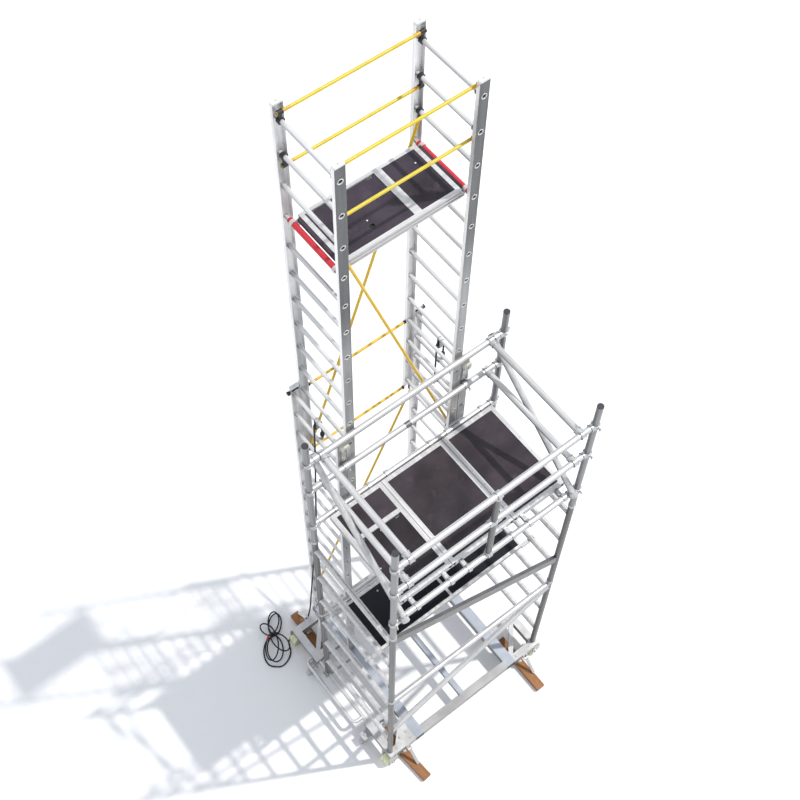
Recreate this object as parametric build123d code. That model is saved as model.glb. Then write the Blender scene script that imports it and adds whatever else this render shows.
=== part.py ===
from build123d import *
import math
import os

# Catenary repair scaffold: a rail trolley that carries a tubular tower and a telescopic ladder tower

# Driving dimensions, in millimetres

# Fits
seat_gap = 0.05
run_gap = 0.05
free_gap = 0.5
cope_gap = 0.6
sleeve_gap = 0.2

# Rail trolley
base_top = 250.0
beam_width = 70.0
beam_height = 80.0
beam_wall = 4.0
channel_width = 100.0
middle_width = 50.0
middle_height = 60.0
base_overhang = 56.0
channel_tail = 7.0
corner_depth = 400.0
strut_width = 45.0
strut_height = 60.0
gusset_leg = 190.0
gusset_thickness = 8.0
gusset_hole = 12.0
post_arm_width = 60.0

# Rail wheels
track_gauge = 1435.0
flange_play = 10.0
flange_diameter = 160.0
tread_diameter = 136.0
tread_width = 60.0
flange_width = 24.0
wheel_side_room = 4.0
axle_diameter = 20.0
hub_diameter = 52.0
wheel_recess = 7.0
fork_plate = 6.0
fork_width = 84.0
fork_rise = 55.0
bolt_head = 30.0
bolt_head_height = 12.0
wheel_inset = 9.0

# Hold-down levers and timber blocks
timber_width = 84.0
timber_height = 60.0
front_timber_reach = 306.0
rear_timber_reach = 190.0
timber_inside = 300.0
timber_tilt = 5.0
stay_width = 50.0
stay_thickness = 10.0
lever_length = 190.0
lever_width = 26.0
lever_thickness = 10.0
lever_eye = 26.0
lever_pin = 10.0
lever_pivot_out = 24.0
lever_pivot_drop = 42.0
lever_side_room = 1.0
clevis_cheek = 8.0
clevis_height = 56.0
clevis_plate = 6.0
lever_offset = 34.0

# Push bar and transport casters
push_bar_od = 34.0
push_bar_wall = 3.0
push_bar_reach = 72.0
push_bar_bend = 48.0
push_bar_drop = 36.0
push_bar_inset = 70.0
push_bar_plate = 6.0
caster_reach = 40.0
caster_inset_front = 68.0
caster_inset_rear = 10.0
caster_plate = 8.0
caster_plate_size = 84.0
caster_mount_z = 150.0
caster_wheel_diameter = 100.0
caster_wheel_width = 36.0
caster_floor_gap = 3.0
caster_trail = 24.0
caster_axle = 10.0
caster_stem = 16.0
caster_cheek = 5.0
caster_wall_rise = 20.0

# Tubular tower
post_spacing_x = 1732.0
post_spacing_y = 958.0
front_post_y = -740.0
post_od = 50.0
post_wall = 3.0
section_height = 1500.0
collar_od = 60.0
collar_height = 34.0
plug_height = 6.0
plug_depth = 20.0
rail_od = 48.0
rail_wall = 3.0
end_rung_first = 345.0
end_rung_count = 3
deck_rail_rise = 281.0
mid_rail_rise = 841.0
top_rail_rise = 1247.0
end_rail_inset = 123.0
end_brace_inset = 73.0
end_brace_offset = 70.0
mid_post_x = 4.0
brace_drop = 50.0
diagonal_low = 607.0
diagonal_end_drop = 110.0
plank_width = 90.0
plank_thickness = 30.0
plank_drop = 80.0
plank_low = 480.0

# Tube couplers
coupler_ring_wall = 7.0
coupler_ring_length = 40.0
coupler_sleeve_reach = 50.0
coupler_sleeve_wall = 5.0
coupler_link = 34.0
wing_bolt = 10.0
wing_reach = 22.0
wing_span = 36.0
wing_thickness = 6.0

# Working decks
deck_left_edge = -735.0
deck_widths = (470.0, 577.0, 495.0)
deck_gap = 4.0
deck_front_room = 85.0
deck_rear_room = 33.0
deck_member = 35.0
deck_height = 60.0
deck_rise = 29.0
deck_panel_thickness = 12.0
deck_panel_drop = 2.0
hook_wall = 8.0
hook_width = 30.0
hook_inset = 80.0
hook_shank = 34.0
hatch_share_member = 250.0
hatch_room = 3.0
hatch_lip = 12.0
hatch_lip_height = 6.0
hinge_pin = 6.0
hinge_knuckle = 36.0
hinge_inset = 40.0

# Lower landing deck
landing_half_length = 755.0
landing_front = -452.0
landing_width = 493.0
landing_member = 24.0
landing_height = 46.0

# Ladder tower
ladder_gap = 9.0
ladder_depth = 566.0
stile_width = 72.0
stile_depth = 28.0
stile_wall = 3.0
upper_half_spacing = 477.0
slide_gap = 6.0
rung_pitch = 280.0
rung_od = 30.0
rung_wall = 2.0
first_rung_rise = 131.0
fixed_rung_count = 15
upper_rung_count = 14
upper_lift = 11
stile_end = 111.0
cap_height = 16.0
cap_overhang = 1.5
cap_corner = 10.0

# Tower clamps, lock knobs and hoist pulleys
clamp_half_width = 30.0
clamp_height = 72.0
clamp_depth = 44.0
clamp_bevel = 15.0
clamp_rise = 223.0
clamp_end_room = 26.0
clamp_shift = 10.0
strap_half_width = 18.0
strap_thickness = 6.0
knob_diameter = 36.0
knob_height = 18.0
knob_lobes = 6
knob_lobe = 10.0
knob_drop = 44.0
knob_stand_off = 6.0
lock_screw = 12.0
pulley_diameter = 66.0
pulley_width = 24.0
pulley_groove = 8.5
pulley_axle = 12.0
pulley_cheek = 5.0
pulley_drop = 60.0
pulley_cheek_room = 1.0
pulley_cheek_width = 40.0
rope_diameter = 14.0
cleat_width = 26.0

# Top platform
platform_rung = 3
sleeve_od = 38.0
sleeve_room = 12.0
platform_rise = 39.0
platform_beam_height = 75.0
platform_beam_width = 25.0
platform_end_room = 19.0
platform_side_room = 35.0
platform_member = 30.0
platform_middle_x = 128.0
platform_middle_width = 55.0
platform_groove = 4.0
platform_groove_height = 14.0
platform_panel_thickness = 12.0
platform_hook_wall = 7.0
platform_hook_width = 25.0
edge_strip = 22.0
edge_strip_height = 26.0
finger_ring = 34.0
finger_ring_wall = 4.0
finger_ring_inset = 86.0
finger_ring_share = 0.52
finger_cup = 8.0

# Yellow guard rails and braces of the ladder tower
brace_od = 21.0
brace_wall = 2.0
claw_od = 46.0
claw_width = 24.0
claw_link = 22.0
claw_socket_od = 30.0
claw_socket_length = 34.0
brace_edge_room = 14.0
rail_tail = 22.0
diagonal_tail = 12.0
top_rail_lift = 62.0
second_rail_drop = 75.0
diagonal_drop = 60.0
diagonal_lift = 44.0
cross_brace_levels = ((10, 20.0), (13, -75.0))
cross_cup_od = 27.0
cross_cup_length = 16.0
cross_cup_floor = 4.0
fixed_brace_stand_off = 22.0
fixed_brace_high = 2975.0
fixed_brace_low = 315.0

# Hoist rope on the floor
coil_waist = (-1040.0, 895.0)
coil_bundle_angle = -39.0
coil_pitch = 15.5
coil_step = 9.0
coil_loops = (
    (-125.0, 300.0, 95.0),
    (47.0, 230.0, 62.0),
    (-118.0, 285.0, 78.0),
    (100.0, 165.0, 36.0),
    (-84.0, 225.0, 66.0),
    (52.0, 215.0, 50.0),
    (-128.0, 270.0, 60.0),
)

# Places worked out from the driving dimensions
base_bottom = base_top - beam_height
post_x = post_spacing_x / 2
rear_post_y = front_post_y + post_spacing_y
wheel_width = tread_width + flange_width
wheel_bay = wheel_width + 2 * wheel_side_room
axle_z = flange_diameter / 2
base_front_y = front_post_y - base_overhang
front_gauge_y = base_front_y + wheel_side_room + tread_width
rear_gauge_y = front_gauge_y + track_gauge - flange_play
base_rear_y = rear_gauge_y + tread_width + wheel_side_room
wheel_x = post_x + wheel_inset
ladder_front_y = rear_post_y + post_od / 2 + ladder_gap
ladder_rear_y = ladder_front_y + ladder_depth
ladder_mid_y = (ladder_front_y + ladder_rear_y) / 2
upper_x = upper_half_spacing
fixed_x = upper_x + stile_width + slide_gap
channel_outer = fixed_x + channel_width / 2
channel_inner = fixed_x - channel_width / 2
beam_outer_x = post_x + beam_width / 2
beam_inner_x = post_x - beam_width / 2
end_rung_pitch = section_height / end_rung_count
guard_foot_z = base_top + 2 * section_height
post_top_z = base_top + 3 * section_height
deck_rail_z = guard_foot_z + deck_rail_rise
mid_rail_z = guard_foot_z + mid_rail_rise
top_rail_z = guard_foot_z + top_rail_rise
first_rung_z = base_top + first_rung_rise
fixed_top_rung_z = first_rung_z + (fixed_rung_count - 1) * rung_pitch
fixed_top_z = fixed_top_rung_z + stile_end
upper_first_rung_z = first_rung_z + upper_lift * rung_pitch
upper_top_rung_z = upper_first_rung_z + (upper_rung_count - 1) * rung_pitch
upper_bottom_z = upper_first_rung_z - stile_end
upper_top_z = upper_top_rung_z + stile_end
fixed_rungs = [first_rung_z + i * rung_pitch for i in range(fixed_rung_count)]
upper_rungs = [upper_top_rung_z - i * rung_pitch for i in range(upper_rung_count)]
posts = {
    "front_left": (-post_x, front_post_y),
    "front_right": (post_x, front_post_y),
    "rear_left": (-post_x, rear_post_y),
    "rear_right": (post_x, rear_post_y),
}
corners = {
    "front_left": (-1, -1),
    "front_right": (1, -1),
    "rear_left": (-1, 1),
    "rear_right": (1, 1),
}
timber_places = {
    "front_left": (-735.0, timber_tilt),
    "front_right": (684.0, 0.0),
    "rear_left": (-748.0, 0.0),
    "rear_right": (748.0, 0.0),
}

nodes = {}


def add(name, *solids):
    """File solids under the node they belong to."""
    for solid in solids:
        nodes.setdefault(name, []).extend(solid.solids())


def bar(x0, x1, y0, y1, z0, z1):
    """A block between two opposite corners."""
    size = (abs(x1 - x0), abs(y1 - y0), abs(z1 - z0))
    centre = ((x0 + x1) / 2, (y0 + y1) / 2, (z0 + z1) / 2)
    return Pos(*centre) * Box(*size)


def box_tube(x0, x1, y0, y1, z0, z1, along, wall):
    """A rectangular hollow section, open at both ends along one axis."""
    lows = [min(x0, x1), min(y0, y1), min(z0, z1)]
    highs = [max(x0, x1), max(y0, y1), max(z0, z1)]
    inner_lows = [low + wall for low in lows]
    inner_highs = [high - wall for high in highs]
    axis = "xyz".index(along)
    inner_lows[axis] = lows[axis]
    inner_highs[axis] = highs[axis]
    outer = bar(lows[0], highs[0], lows[1], highs[1], lows[2], highs[2])
    inside = [level for pair in zip(inner_lows, inner_highs) for level in pair]
    return outer - bar(*inside)


def rod(start, end, diameter):
    """A round bar between two points."""
    start = Vector(*start)
    run = Vector(*end) - start
    plane = Plane(origin=start, z_dir=run)
    return plane * Cylinder(diameter / 2, run.length, align=(Align.CENTER, Align.CENTER, Align.MIN))


def tube(start, end, diameter, wall):
    """A round tube between two points, open at both ends."""
    return rod(start, end, diameter) - rod(start, end, diameter - 2 * wall)


def toward(start, end, distance):
    """The point a given distance from start on the way to end."""
    start = Vector(*start)
    return tuple(start + (Vector(*end) - start).normalized() * distance)


def post_core(name):
    """The full outside of one post, used to cope what butts against it."""
    x, y = posts[name]
    return rod((x, y, base_top), (x, y, post_top_z), post_od)


def rail_core(point, axis):
    """A short length of a rail with a little room round it, used to cope what butts against it."""
    reach = Vector(*axis) * rail_od
    return rod(Vector(*point) - reach, Vector(*point) + reach, rail_od + 2 * cope_gap)


def coped(piece, *cutters):
    """A tube whose ends are shaped to the tubes it meets."""
    for cutter in cutters:
        piece = piece - cutter
    return max(piece.solids(), key=lambda solid: solid.volume)


def tee_coupler(point, ring_axis, ring_tube, sleeve_axes, sleeve_tube):
    """A clamp ring round one tube with a sleeve round each tube that butts against it."""
    centre = Vector(*point)
    half = Vector(*ring_axis) * (coupler_ring_length / 2)
    body = rod(centre - half, centre + half, ring_tube + 2 * coupler_ring_wall)
    bores = [rod(centre - half * 2, centre + half * 2, ring_tube + 2 * seat_gap)]
    for axis in sleeve_axes:
        tip = centre + Vector(*axis) * coupler_sleeve_reach
        body = body + rod(centre, tip, sleeve_tube + 2 * coupler_sleeve_wall)
        bores.append(rod(centre, tip, sleeve_tube + 2 * sleeve_gap))
    for bore in bores:
        body = body - bore
    return max(body.solids(), key=lambda solid: solid.volume)


def cross_coupler(point_a, axis_a, point_b, axis_b, diameter):
    """Two clamp rings back to back, for tubes that cross without touching."""
    body = None
    bores = []
    for point, axis in ((point_a, axis_a), (point_b, axis_b)):
        centre = Vector(*point)
        half = Vector(*axis).normalized() * (coupler_ring_length / 2)
        ring = rod(centre - half, centre + half, diameter + 2 * coupler_ring_wall)
        body = ring if body is None else body + ring
        bores.append(rod(centre - half * 2, centre + half * 2, diameter + 2 * seat_gap))
    body = body + rod(point_a, point_b, coupler_link)
    for bore in bores:
        body = body - bore
    return max(body.solids(), key=lambda solid: solid.volume)


def wing_bolt_at(point, outward, wing_axis):
    """A wing bolt that clamps a coupler: a shank, a boss and two flat wings."""
    root = Vector(*point)
    outward = Vector(*outward)
    tip = root + outward * wing_reach
    shank = rod(root, tip, wing_bolt)
    plane = Plane(origin=tip - outward * (wing_bolt / 2), x_dir=Vector(*wing_axis), z_dir=outward)
    wings = plane * Box(wing_span, wing_thickness, wing_bolt)
    return shank + wings


def hook_claw(tube_diameter, wall, width, reach, drop):
    """A hook that drops over a tube at the origin and reaches along +X to the deck it carries."""
    inner = tube_diameter / 2 + seat_gap
    outer = inner + wall
    arch = Circle(outer) - Circle(inner)
    upper = arch & (Pos(0, outer / 2) * Rectangle(2 * outer, outer))
    lower = Pos((inner + reach) / 2, -drop / 2) * Rectangle(reach - inner, drop)
    profile = upper + lower - Circle(inner)
    return extrude(profile, width / 2, both=True)


def trolley_frame():
    """Two long channels, a front and a rear beam and a middle member."""
    for side in (-1, 1):
        inner, outer = side * channel_inner, side * channel_outer
        tail = ladder_rear_y + channel_tail
        add("base_frame", box_tube(inner, outer, base_front_y, tail, base_bottom, base_top, "y", beam_wall))
    front_in = base_front_y + beam_width
    rear_in = base_rear_y - beam_width
    span = (-channel_inner, channel_inner)
    add("base_frame", box_tube(*span, base_front_y, front_in, base_bottom, base_top, "x", beam_wall))
    add("base_frame", box_tube(*span, rear_in, base_rear_y, base_bottom, base_top, "x", beam_wall))
    middle = (-middle_width / 2, middle_width / 2)
    levels = (base_top - middle_height, base_top)
    add("base_frame", box_tube(*middle, front_in, rear_in, *levels, "y", beam_wall))


def corner_frame(name):
    """One corner bay: an outer beam, two short beams and a diagonal strut or a gusset."""
    side, end = corners[name]
    face = base_front_y if end < 0 else base_rear_y
    near = face - end * beam_width
    far = face - end * corner_depth
    far_near = far + end * beam_width
    outer = (side * beam_inner_x, side * beam_outer_x)
    short = (side * channel_outer, side * beam_inner_x)
    levels = (base_bottom, base_top)
    add("corner_frames", box_tube(*outer, face, far, *levels, "y", beam_wall))
    add("corner_frames", box_tube(*short, face, near, *levels, "x", beam_wall))
    add("corner_frames", box_tube(*short, far, far_near, *levels, "x", beam_wall))
    bay = bar(*short, near, far_near, base_top - strut_height, base_top)
    if name == "front_left":
        corner = (side * channel_outer, near)
        triangle = Polyline(
            corner,
            (corner[0] + side * gusset_leg, near),
            (corner[0], near - end * gusset_leg),
            close=True,
        )
        plate = Pos(0, 0, base_top - gusset_thickness) * extrude(make_face(triangle), gusset_thickness)
        for share_x, share_y in ((0.2, 0.2), (0.62, 0.16), (0.16, 0.62)):
            x = corner[0] + side * gusset_leg * share_x
            y = near - end * gusset_leg * share_y
            plate = plate - rod((x, y, base_bottom), (x, y, base_top), gusset_hole)
        add("corner_frames", plate)
    else:
        start = Vector(short[0], near, base_top - strut_height / 2)
        finish = Vector(short[1], far_near, base_top - strut_height / 2)
        plane = Plane(origin=(start + finish) / 2, x_dir=finish - start, z_dir=(0, 0, 1))
        add("corner_frames", (plane * Box(2 * (finish - start).length, strut_width, strut_height)) & bay)
    if end > 0:
        y0, y1 = rear_post_y - post_arm_width / 2, rear_post_y + post_arm_width / 2
        ends = (side * channel_outer, side * beam_outer_x)
        add("corner_frames", box_tube(*ends, y0, y1, *levels, "x", beam_wall))


def wheel_y(end):
    """The middle of a wheel, between its two fork plates."""
    face = base_front_y if end < 0 else base_rear_y
    return face - end * wheel_bay / 2


def rail_wheel(end):
    """A flanged nylon rail wheel on the Y axis, tread outboard, with dished sides."""
    half = wheel_width / 2
    tread = extrude(Circle(tread_diameter / 2), wheel_width)
    flange = extrude(Circle(flange_diameter / 2), flange_width, taper=6)
    wheel = tread + flange
    ring = Circle(tread_diameter / 2 - 12) - Circle(hub_diameter / 2)
    recess = extrude(ring, wheel_recess)
    wheel = wheel - recess - Pos(0, 0, wheel_width - wheel_recess) * recess
    wheel = wheel - extrude(Circle(axle_diameter / 2 + run_gap), wheel_width)
    outboard = wheel.faces().sort_by(Axis.Z)[-1].edges().sort_by(SortBy.RADIUS)[-1]
    wheel = chamfer(outboard, 4)
    turned = Rot(-90 * end, 0, 0) * (Pos(0, 0, -half) * wheel)
    return turned


def wheel_fork(name):
    """Two fork plates, one on the beam's face and one under the beam, and the axle bolt."""
    side, end = corners[name]
    face = base_front_y if end < 0 else base_rear_y
    x = side * wheel_x
    outer_y = face + end * fork_plate
    inner_y = face - end * wheel_bay
    far_y = inner_y - end * fork_plate
    hole = rod((x, outer_y + end * 5, axle_z), (x, far_y - end * 5, axle_z), axle_diameter + 2 * seat_gap)

    def plate(y0, y1, top):
        block = bar(x - fork_width / 2, x + fork_width / 2, y0, y1, axle_z, top)
        foot = rod((x, y0, axle_z), (x, y1, axle_z), fork_width * 0.8)
        return block + foot - hole

    add("wheel_brackets", plate(face, outer_y, base_bottom + fork_rise), plate(inner_y, far_y, base_bottom))
    pin = rod((x, outer_y, axle_z), (x, far_y, axle_z), axle_diameter)
    head_plane = Plane(origin=(x, outer_y, axle_z), x_dir=(1, 0, 0), z_dir=(0, end, 0))
    head = head_plane * extrude(RegularPolygon(bolt_head / 2, 6), bolt_head_height)
    nut_plane = Plane(origin=(x, far_y, axle_z), x_dir=(1, 0, 0), z_dir=(0, -end, 0))
    nut = nut_plane * extrude(RegularPolygon(bolt_head / 2, 6), bolt_head_height)
    add("axle_bolts", pin + head + nut)
    add("rail_wheel_" + name, Pos(x, wheel_y(end), axle_z) * rail_wheel(end))


def lever_pivot(name):
    """The pivot of a hold-down lever, outside the beam's face."""
    side, end = corners[name]
    face = base_front_y if end < 0 else base_rear_y
    x = timber_places[name][0] + lever_offset
    return x, face + end * (clevis_plate + lever_pivot_out), base_top - lever_pivot_drop


def hold_down(name):
    """A timber block on the floor, its stay, and the clevis and lever that hold it down."""
    side, end = corners[name]
    face = base_front_y if end < 0 else base_rear_y
    timber_x, tilt = timber_places[name]
    reach = front_timber_reach if end < 0 else rear_timber_reach
    length = reach + timber_inside
    middle = face + end * (reach - timber_inside) / 2
    block = Box(timber_width, length, timber_height)
    block = chamfer(block.edges().filter_by(Axis.Y), 2)
    add("timber_blocks", Pos(timber_x, middle, timber_height / 2) * Rot(0, 0, tilt) * block)
    stay_y = face - end * beam_width / 2
    stay = bar(timber_x - stay_width / 2, timber_x + stay_width / 2,
               stay_y - stay_thickness / 2, stay_y + stay_thickness / 2, timber_height, base_bottom)
    add("hold_down_brackets", stay)

    x, y, z = lever_pivot(name)
    half = lever_width / 2 + lever_side_room
    edge = half + clevis_cheek
    half_height = clevis_height / 2
    back = bar(x - edge, x + edge, face, face + end * clevis_plate, z - half_height, z + half_height)
    clevis = back
    for cheek in (-1, 1):
        x0, x1 = x + cheek * half, x + cheek * edge
        arm = bar(x0, x1, face, y, z - lever_eye / 2, z + lever_eye / 2)
        clevis = clevis + arm + rod((x0, y, z), (x1, y, z), lever_eye)
    clevis = clevis - rod((x - edge, y, z), (x + edge, y, z), lever_pin + 2 * seat_gap)
    add("hold_down_brackets", clevis)
    add("hold_down_brackets", rod((x - edge, y, z), (x + edge, y, z), lever_pin))

    slope = math.degrees(math.asin((z - timber_height - free_gap - lever_thickness) / lever_length))
    eye = rod((-lever_width / 2, 0, 0), (lever_width / 2, 0, 0), lever_eye)
    arm = bar(-lever_width / 2, lever_width / 2, 0, lever_length, -lever_thickness / 2, lever_thickness / 2)
    arm = fillet(arm.edges().filter_by(Axis.Z).sort_by(Axis.Y)[-2:], lever_width / 2 - 1)
    lever = eye + arm - rod((-lever_width, 0, 0), (lever_width, 0, 0), lever_pin + 2 * run_gap)
    if end < 0:
        lever = Rot(0, 0, 180) * (Rot(-slope, 0, 0) * lever)
    else:
        lever = Rot(-slope, 0, 0) * lever
    add("hold_down_lever_" + name, Pos(x, y, z) * lever)


def push_bar():
    """A side rail between the two left corner frames, with a bent push bar outside it."""
    rear_end = base_rear_y - corner_depth
    front_end = base_front_y + corner_depth
    z = base_top - push_bar_drop
    for face, inward in ((rear_end, -1), (front_end, 1)):
        plate = (face, face + inward * push_bar_plate)
        add("push_bar", bar(-beam_outer_x, -beam_inner_x, *plate, base_bottom, base_top))
    arm_front = rear_post_y - post_arm_width / 2
    arm_rear = rear_post_y + post_arm_width / 2
    for y0, y1 in ((front_end + push_bar_plate, arm_front), (arm_rear, rear_end - push_bar_plate)):
        add("push_bar", tube((-post_x, y0, z), (-post_x, y1, z), push_bar_od, push_bar_wall))
    outer_x = -beam_outer_x - push_bar_reach
    rear = rear_end + push_bar_inset
    front = front_end + push_bar_inset
    corners_of_bar = (-beam_outer_x, rear, z), (outer_x, rear, z), (outer_x, front, z), (-post_x, front, z)
    path = FilletPolyline(*corners_of_bar, radius=push_bar_bend)
    start = Plane(origin=path @ 0, z_dir=path % 0)
    ring = start * (Circle(push_bar_od / 2) - Circle(push_bar_od / 2 - push_bar_wall))
    core_ends = [(-post_x, front + way * push_bar_od, z) for way in (-1, 1)]
    core = rod(*core_ends, push_bar_od + 2 * cope_gap)
    add("push_bar", coped(sweep(ring, path=path), core))


def caster(name, y):
    """A swivel transport caster on an arm outside the left beam."""
    x = -beam_outer_x - caster_reach
    half = caster_plate_size / 2
    plate = bar(x - half, -beam_outer_x, y - half, y + half, caster_mount_z, caster_mount_z + caster_plate)
    wall_top = base_bottom + caster_wall_rise
    wall = bar(-beam_outer_x - caster_plate, -beam_outer_x, y - half, y + half, caster_mount_z, wall_top)
    bracket = plate + wall
    stem_hole = rod((x, y, caster_mount_z - 50), (x, y, caster_mount_z + 60), caster_stem + 2 * run_gap)
    add("caster_brackets", bracket - stem_hole)

    axle_height = caster_floor_gap + caster_wheel_diameter / 2
    crown_top = caster_mount_z - free_gap
    crown = rod((x, y, crown_top - 8), (x, y, crown_top), 54)
    stem = rod((x, y, crown_top - 8), (x, y, caster_mount_z + caster_plate), caster_stem)
    nut_base = caster_mount_z + caster_plate + free_gap
    cap = rod((x, y, caster_mount_z + caster_plate), (x, y, nut_base), caster_stem)
    nut = Pos(x, y, nut_base) * extrude(RegularPolygon(15, 6), 10)
    fork = crown + stem + cap + nut
    inner = caster_wheel_width / 2 + 1
    axle_x = x - caster_trail
    for cheek in (-1, 1):
        y0, y1 = y + cheek * inner, y + cheek * (inner + caster_cheek)
        leg = bar(axle_x - 14, x + 14, y0, y1, axle_height, crown_top - 4)
        foot = rod((axle_x, y0, axle_height), (axle_x, y1, axle_height), 28)
        fork = fork + leg + foot
    edge = inner + caster_cheek
    room_ends = [(axle_x, y + way * inner, axle_height) for way in (-1, 1)]
    sweep_room = rod(*room_ends, caster_wheel_diameter + 8)
    fork = fork - sweep_room
    pin = rod((axle_x, y - edge - 4, axle_height), (axle_x, y + edge + 4, axle_height), caster_axle)
    add("caster_fork_" + name, fork + pin)
    wheel = rod((axle_x, y - caster_wheel_width / 2, axle_height),
                (axle_x, y + caster_wheel_width / 2, axle_height), caster_wheel_diameter)
    wheel = fillet(wheel.edges().filter_by(GeomType.CIRCLE), 5)
    bore = rod((axle_x, y - edge, axle_height), (axle_x, y + edge, axle_height), caster_axle + 2 * run_gap)
    add("caster_wheel_" + name, wheel - bore)


def end_frame(side_name, side):
    """Two post pairs stacked, with coped rungs between the front and rear posts."""
    node = side_name + "_end_frame"
    x = side * post_x
    cutters = (post_core("front_" + side_name), post_core("rear_" + side_name))
    for section in range(2):
        foot = base_top + section * section_height
        for y in (front_post_y, rear_post_y):
            add(node, tube((x, y, foot), (x, y, foot + section_height), post_od, post_wall))
        for i in range(end_rung_count):
            z = foot + end_rung_first + i * end_rung_pitch
            rung = tube((x, front_post_y, z), (x, rear_post_y, z), rail_od, rail_wall)
            add(node, coped(rung, *cutters))


def upper_posts():
    """The guard posts, the collars over the post joints and the plugs in the post tops."""
    bore = post_od - 2 * post_wall
    for x, y in posts.values():
        add("guard_posts", tube((x, y, guard_foot_z), (x, y, post_top_z), post_od, post_wall))
        plug = rod((x, y, post_top_z), (x, y, post_top_z + plug_height), post_od)
        spigot = rod((x, y, post_top_z - plug_depth), (x, y, post_top_z), bore - 2 * seat_gap)
        add("post_plugs", chamfer((plug).edges().sort_by(Axis.Z)[-1], 2) + spigot)
        for joint in (1, 2):
            z = base_top + joint * section_height
            collar = rod((x, y, z - collar_height / 2), (x, y, z + collar_height / 2), collar_od)
            collar = chamfer(collar.edges().filter_by(GeomType.CIRCLE), 3)
            collar_bore = rod((x, y, z - collar_height), (x, y, z + collar_height), post_od + 2 * seat_gap)
            add("post_collars", collar - collar_bore)


def guard_rails():
    """Rails on all four sides of the working platform, clamped to the posts and to each other."""
    levels = (deck_rail_z, mid_rail_z, top_rail_z)
    for row, y in (("front", front_post_y), ("rear", rear_post_y)):
        cutters = (post_core(row + "_left"), post_core(row + "_right"))
        for z in levels:
            rail = coped(tube((-post_x, y, z), (post_x, y, z), rail_od, rail_wall), *cutters)
            if row == "front" and z == mid_rail_z:
                rail = rail - rail_core((mid_post_x, y, z), (0, 0, 1))
            add(row + "_guard_rails", rail)
            for side in (-1, 1):
                place = (side * post_x, y, z)
                add("tube_couplers", tee_coupler(place, (0, 0, 1), post_od, [(-side, 0, 0)], rail_od))
                if row == "front":
                    root = (side * post_x, y - post_od / 2 - coupler_ring_wall, z)
                    add("coupler_bolts", wing_bolt_at(root, (0, -1, 0), (0, 0, 1)))
                else:
                    root = (side * (post_x + post_od / 2 + coupler_ring_wall), y, z)
                    add("coupler_bolts", wing_bolt_at(root, (side, 0, 0), (0, 0, 1)))
    for side_name, side in (("left", -1), ("right", 1)):
        node = side_name + "_guard_rails"
        x = side * (post_x - end_rail_inset)
        for z in (mid_rail_z, top_rail_z):
            cutters = []
            for y in (front_post_y, rear_post_y):
                cutters.append(rail_core((x, y, z), (1, 0, 0)))
            add(node, coped(tube((x, front_post_y, z), (x, rear_post_y, z), rail_od, rail_wall), *cutters))
            for y, inward in ((front_post_y, 1), (rear_post_y, -1)):
                add("tube_couplers", tee_coupler((x, y, z), (1, 0, 0), rail_od, [(0, inward, 0)], rail_od))
                root = (x, y, z + rail_od / 2 + coupler_ring_wall)
                add("coupler_bolts", wing_bolt_at(root, (0, 0, 1), (1, 0, 0)))
        x = side * (post_x - end_brace_inset)
        high = Vector(x, rear_post_y, top_rail_z - end_brace_offset)
        low = Vector(x, front_post_y, deck_rail_z + end_brace_offset)
        along = (high - low).normalized()
        ends = (low - along * coupler_ring_length, high + along * coupler_ring_length * 0.5)
        add(node, tube(*ends, rail_od, rail_wall))
        joins = (((x, rear_post_y, top_rail_z), high), ((x, front_post_y, deck_rail_z), low))
        for rail_point, brace_point in joins:
            nearest = brace_point + along * ((Vector(*rail_point) - brace_point).dot(along))
            add("tube_couplers", cross_coupler(rail_point, (1, 0, 0), nearest, along, rail_od))
    low, middle, high = [(mid_post_x, front_post_y, z) for z in levels]
    cores = (rail_core(low, (1, 0, 0)), rail_core(high, (1, 0, 0)))
    mid_post = coped(tube(low, high, rail_od, rail_wall), *cores)
    add("front_guard_rails", mid_post)
    add("tube_couplers", tee_coupler(low, (1, 0, 0), rail_od, [(0, 0, 1)], rail_od))
    add("tube_couplers", tee_coupler(middle, (0, 0, 1), rail_od, [(-1, 0, 0), (1, 0, 0)], rail_od))
    add("tube_couplers", tee_coupler(high, (1, 0, 0), rail_od, [(0, 0, -1)], rail_od))


def tower_braces():
    """The plank brace in front, and a level and a sloping tube in front and behind."""
    for row, y, lean in (("front", front_post_y, 1), ("rear", rear_post_y, -1)):
        cutters = (post_core(row + "_left"), post_core(row + "_right"))
        z = base_top + section_height - brace_drop
        add("tower_braces", coped(tube((-post_x, y, z), (post_x, y, z), rail_od, rail_wall), *cutters))
        low = (-lean * post_x, y, base_top + diagonal_low)
        high = (lean * post_x, y, base_top + section_height - diagonal_end_drop)
        add("tower_braces", coped(tube(low, high, rail_od, rail_wall), *cutters))
    foot = base_top + section_height
    high = Vector(-post_x, front_post_y, foot + section_height - plank_drop)
    low = Vector(post_x, front_post_y, foot + plank_low)
    plane = Plane(origin=(high + low) / 2, x_dir=low - high, z_dir=(0, -1, 0))
    plank = plane * Box((low - high).length, plank_width, plank_thickness)
    hollow = plane * Box((low - high).length, plank_width - 2 * beam_wall, plank_thickness - 2 * beam_wall)
    cutters = (post_core("front_left"), post_core("front_right"))
    add("tower_braces", coped(plank - hollow, *cutters))


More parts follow.
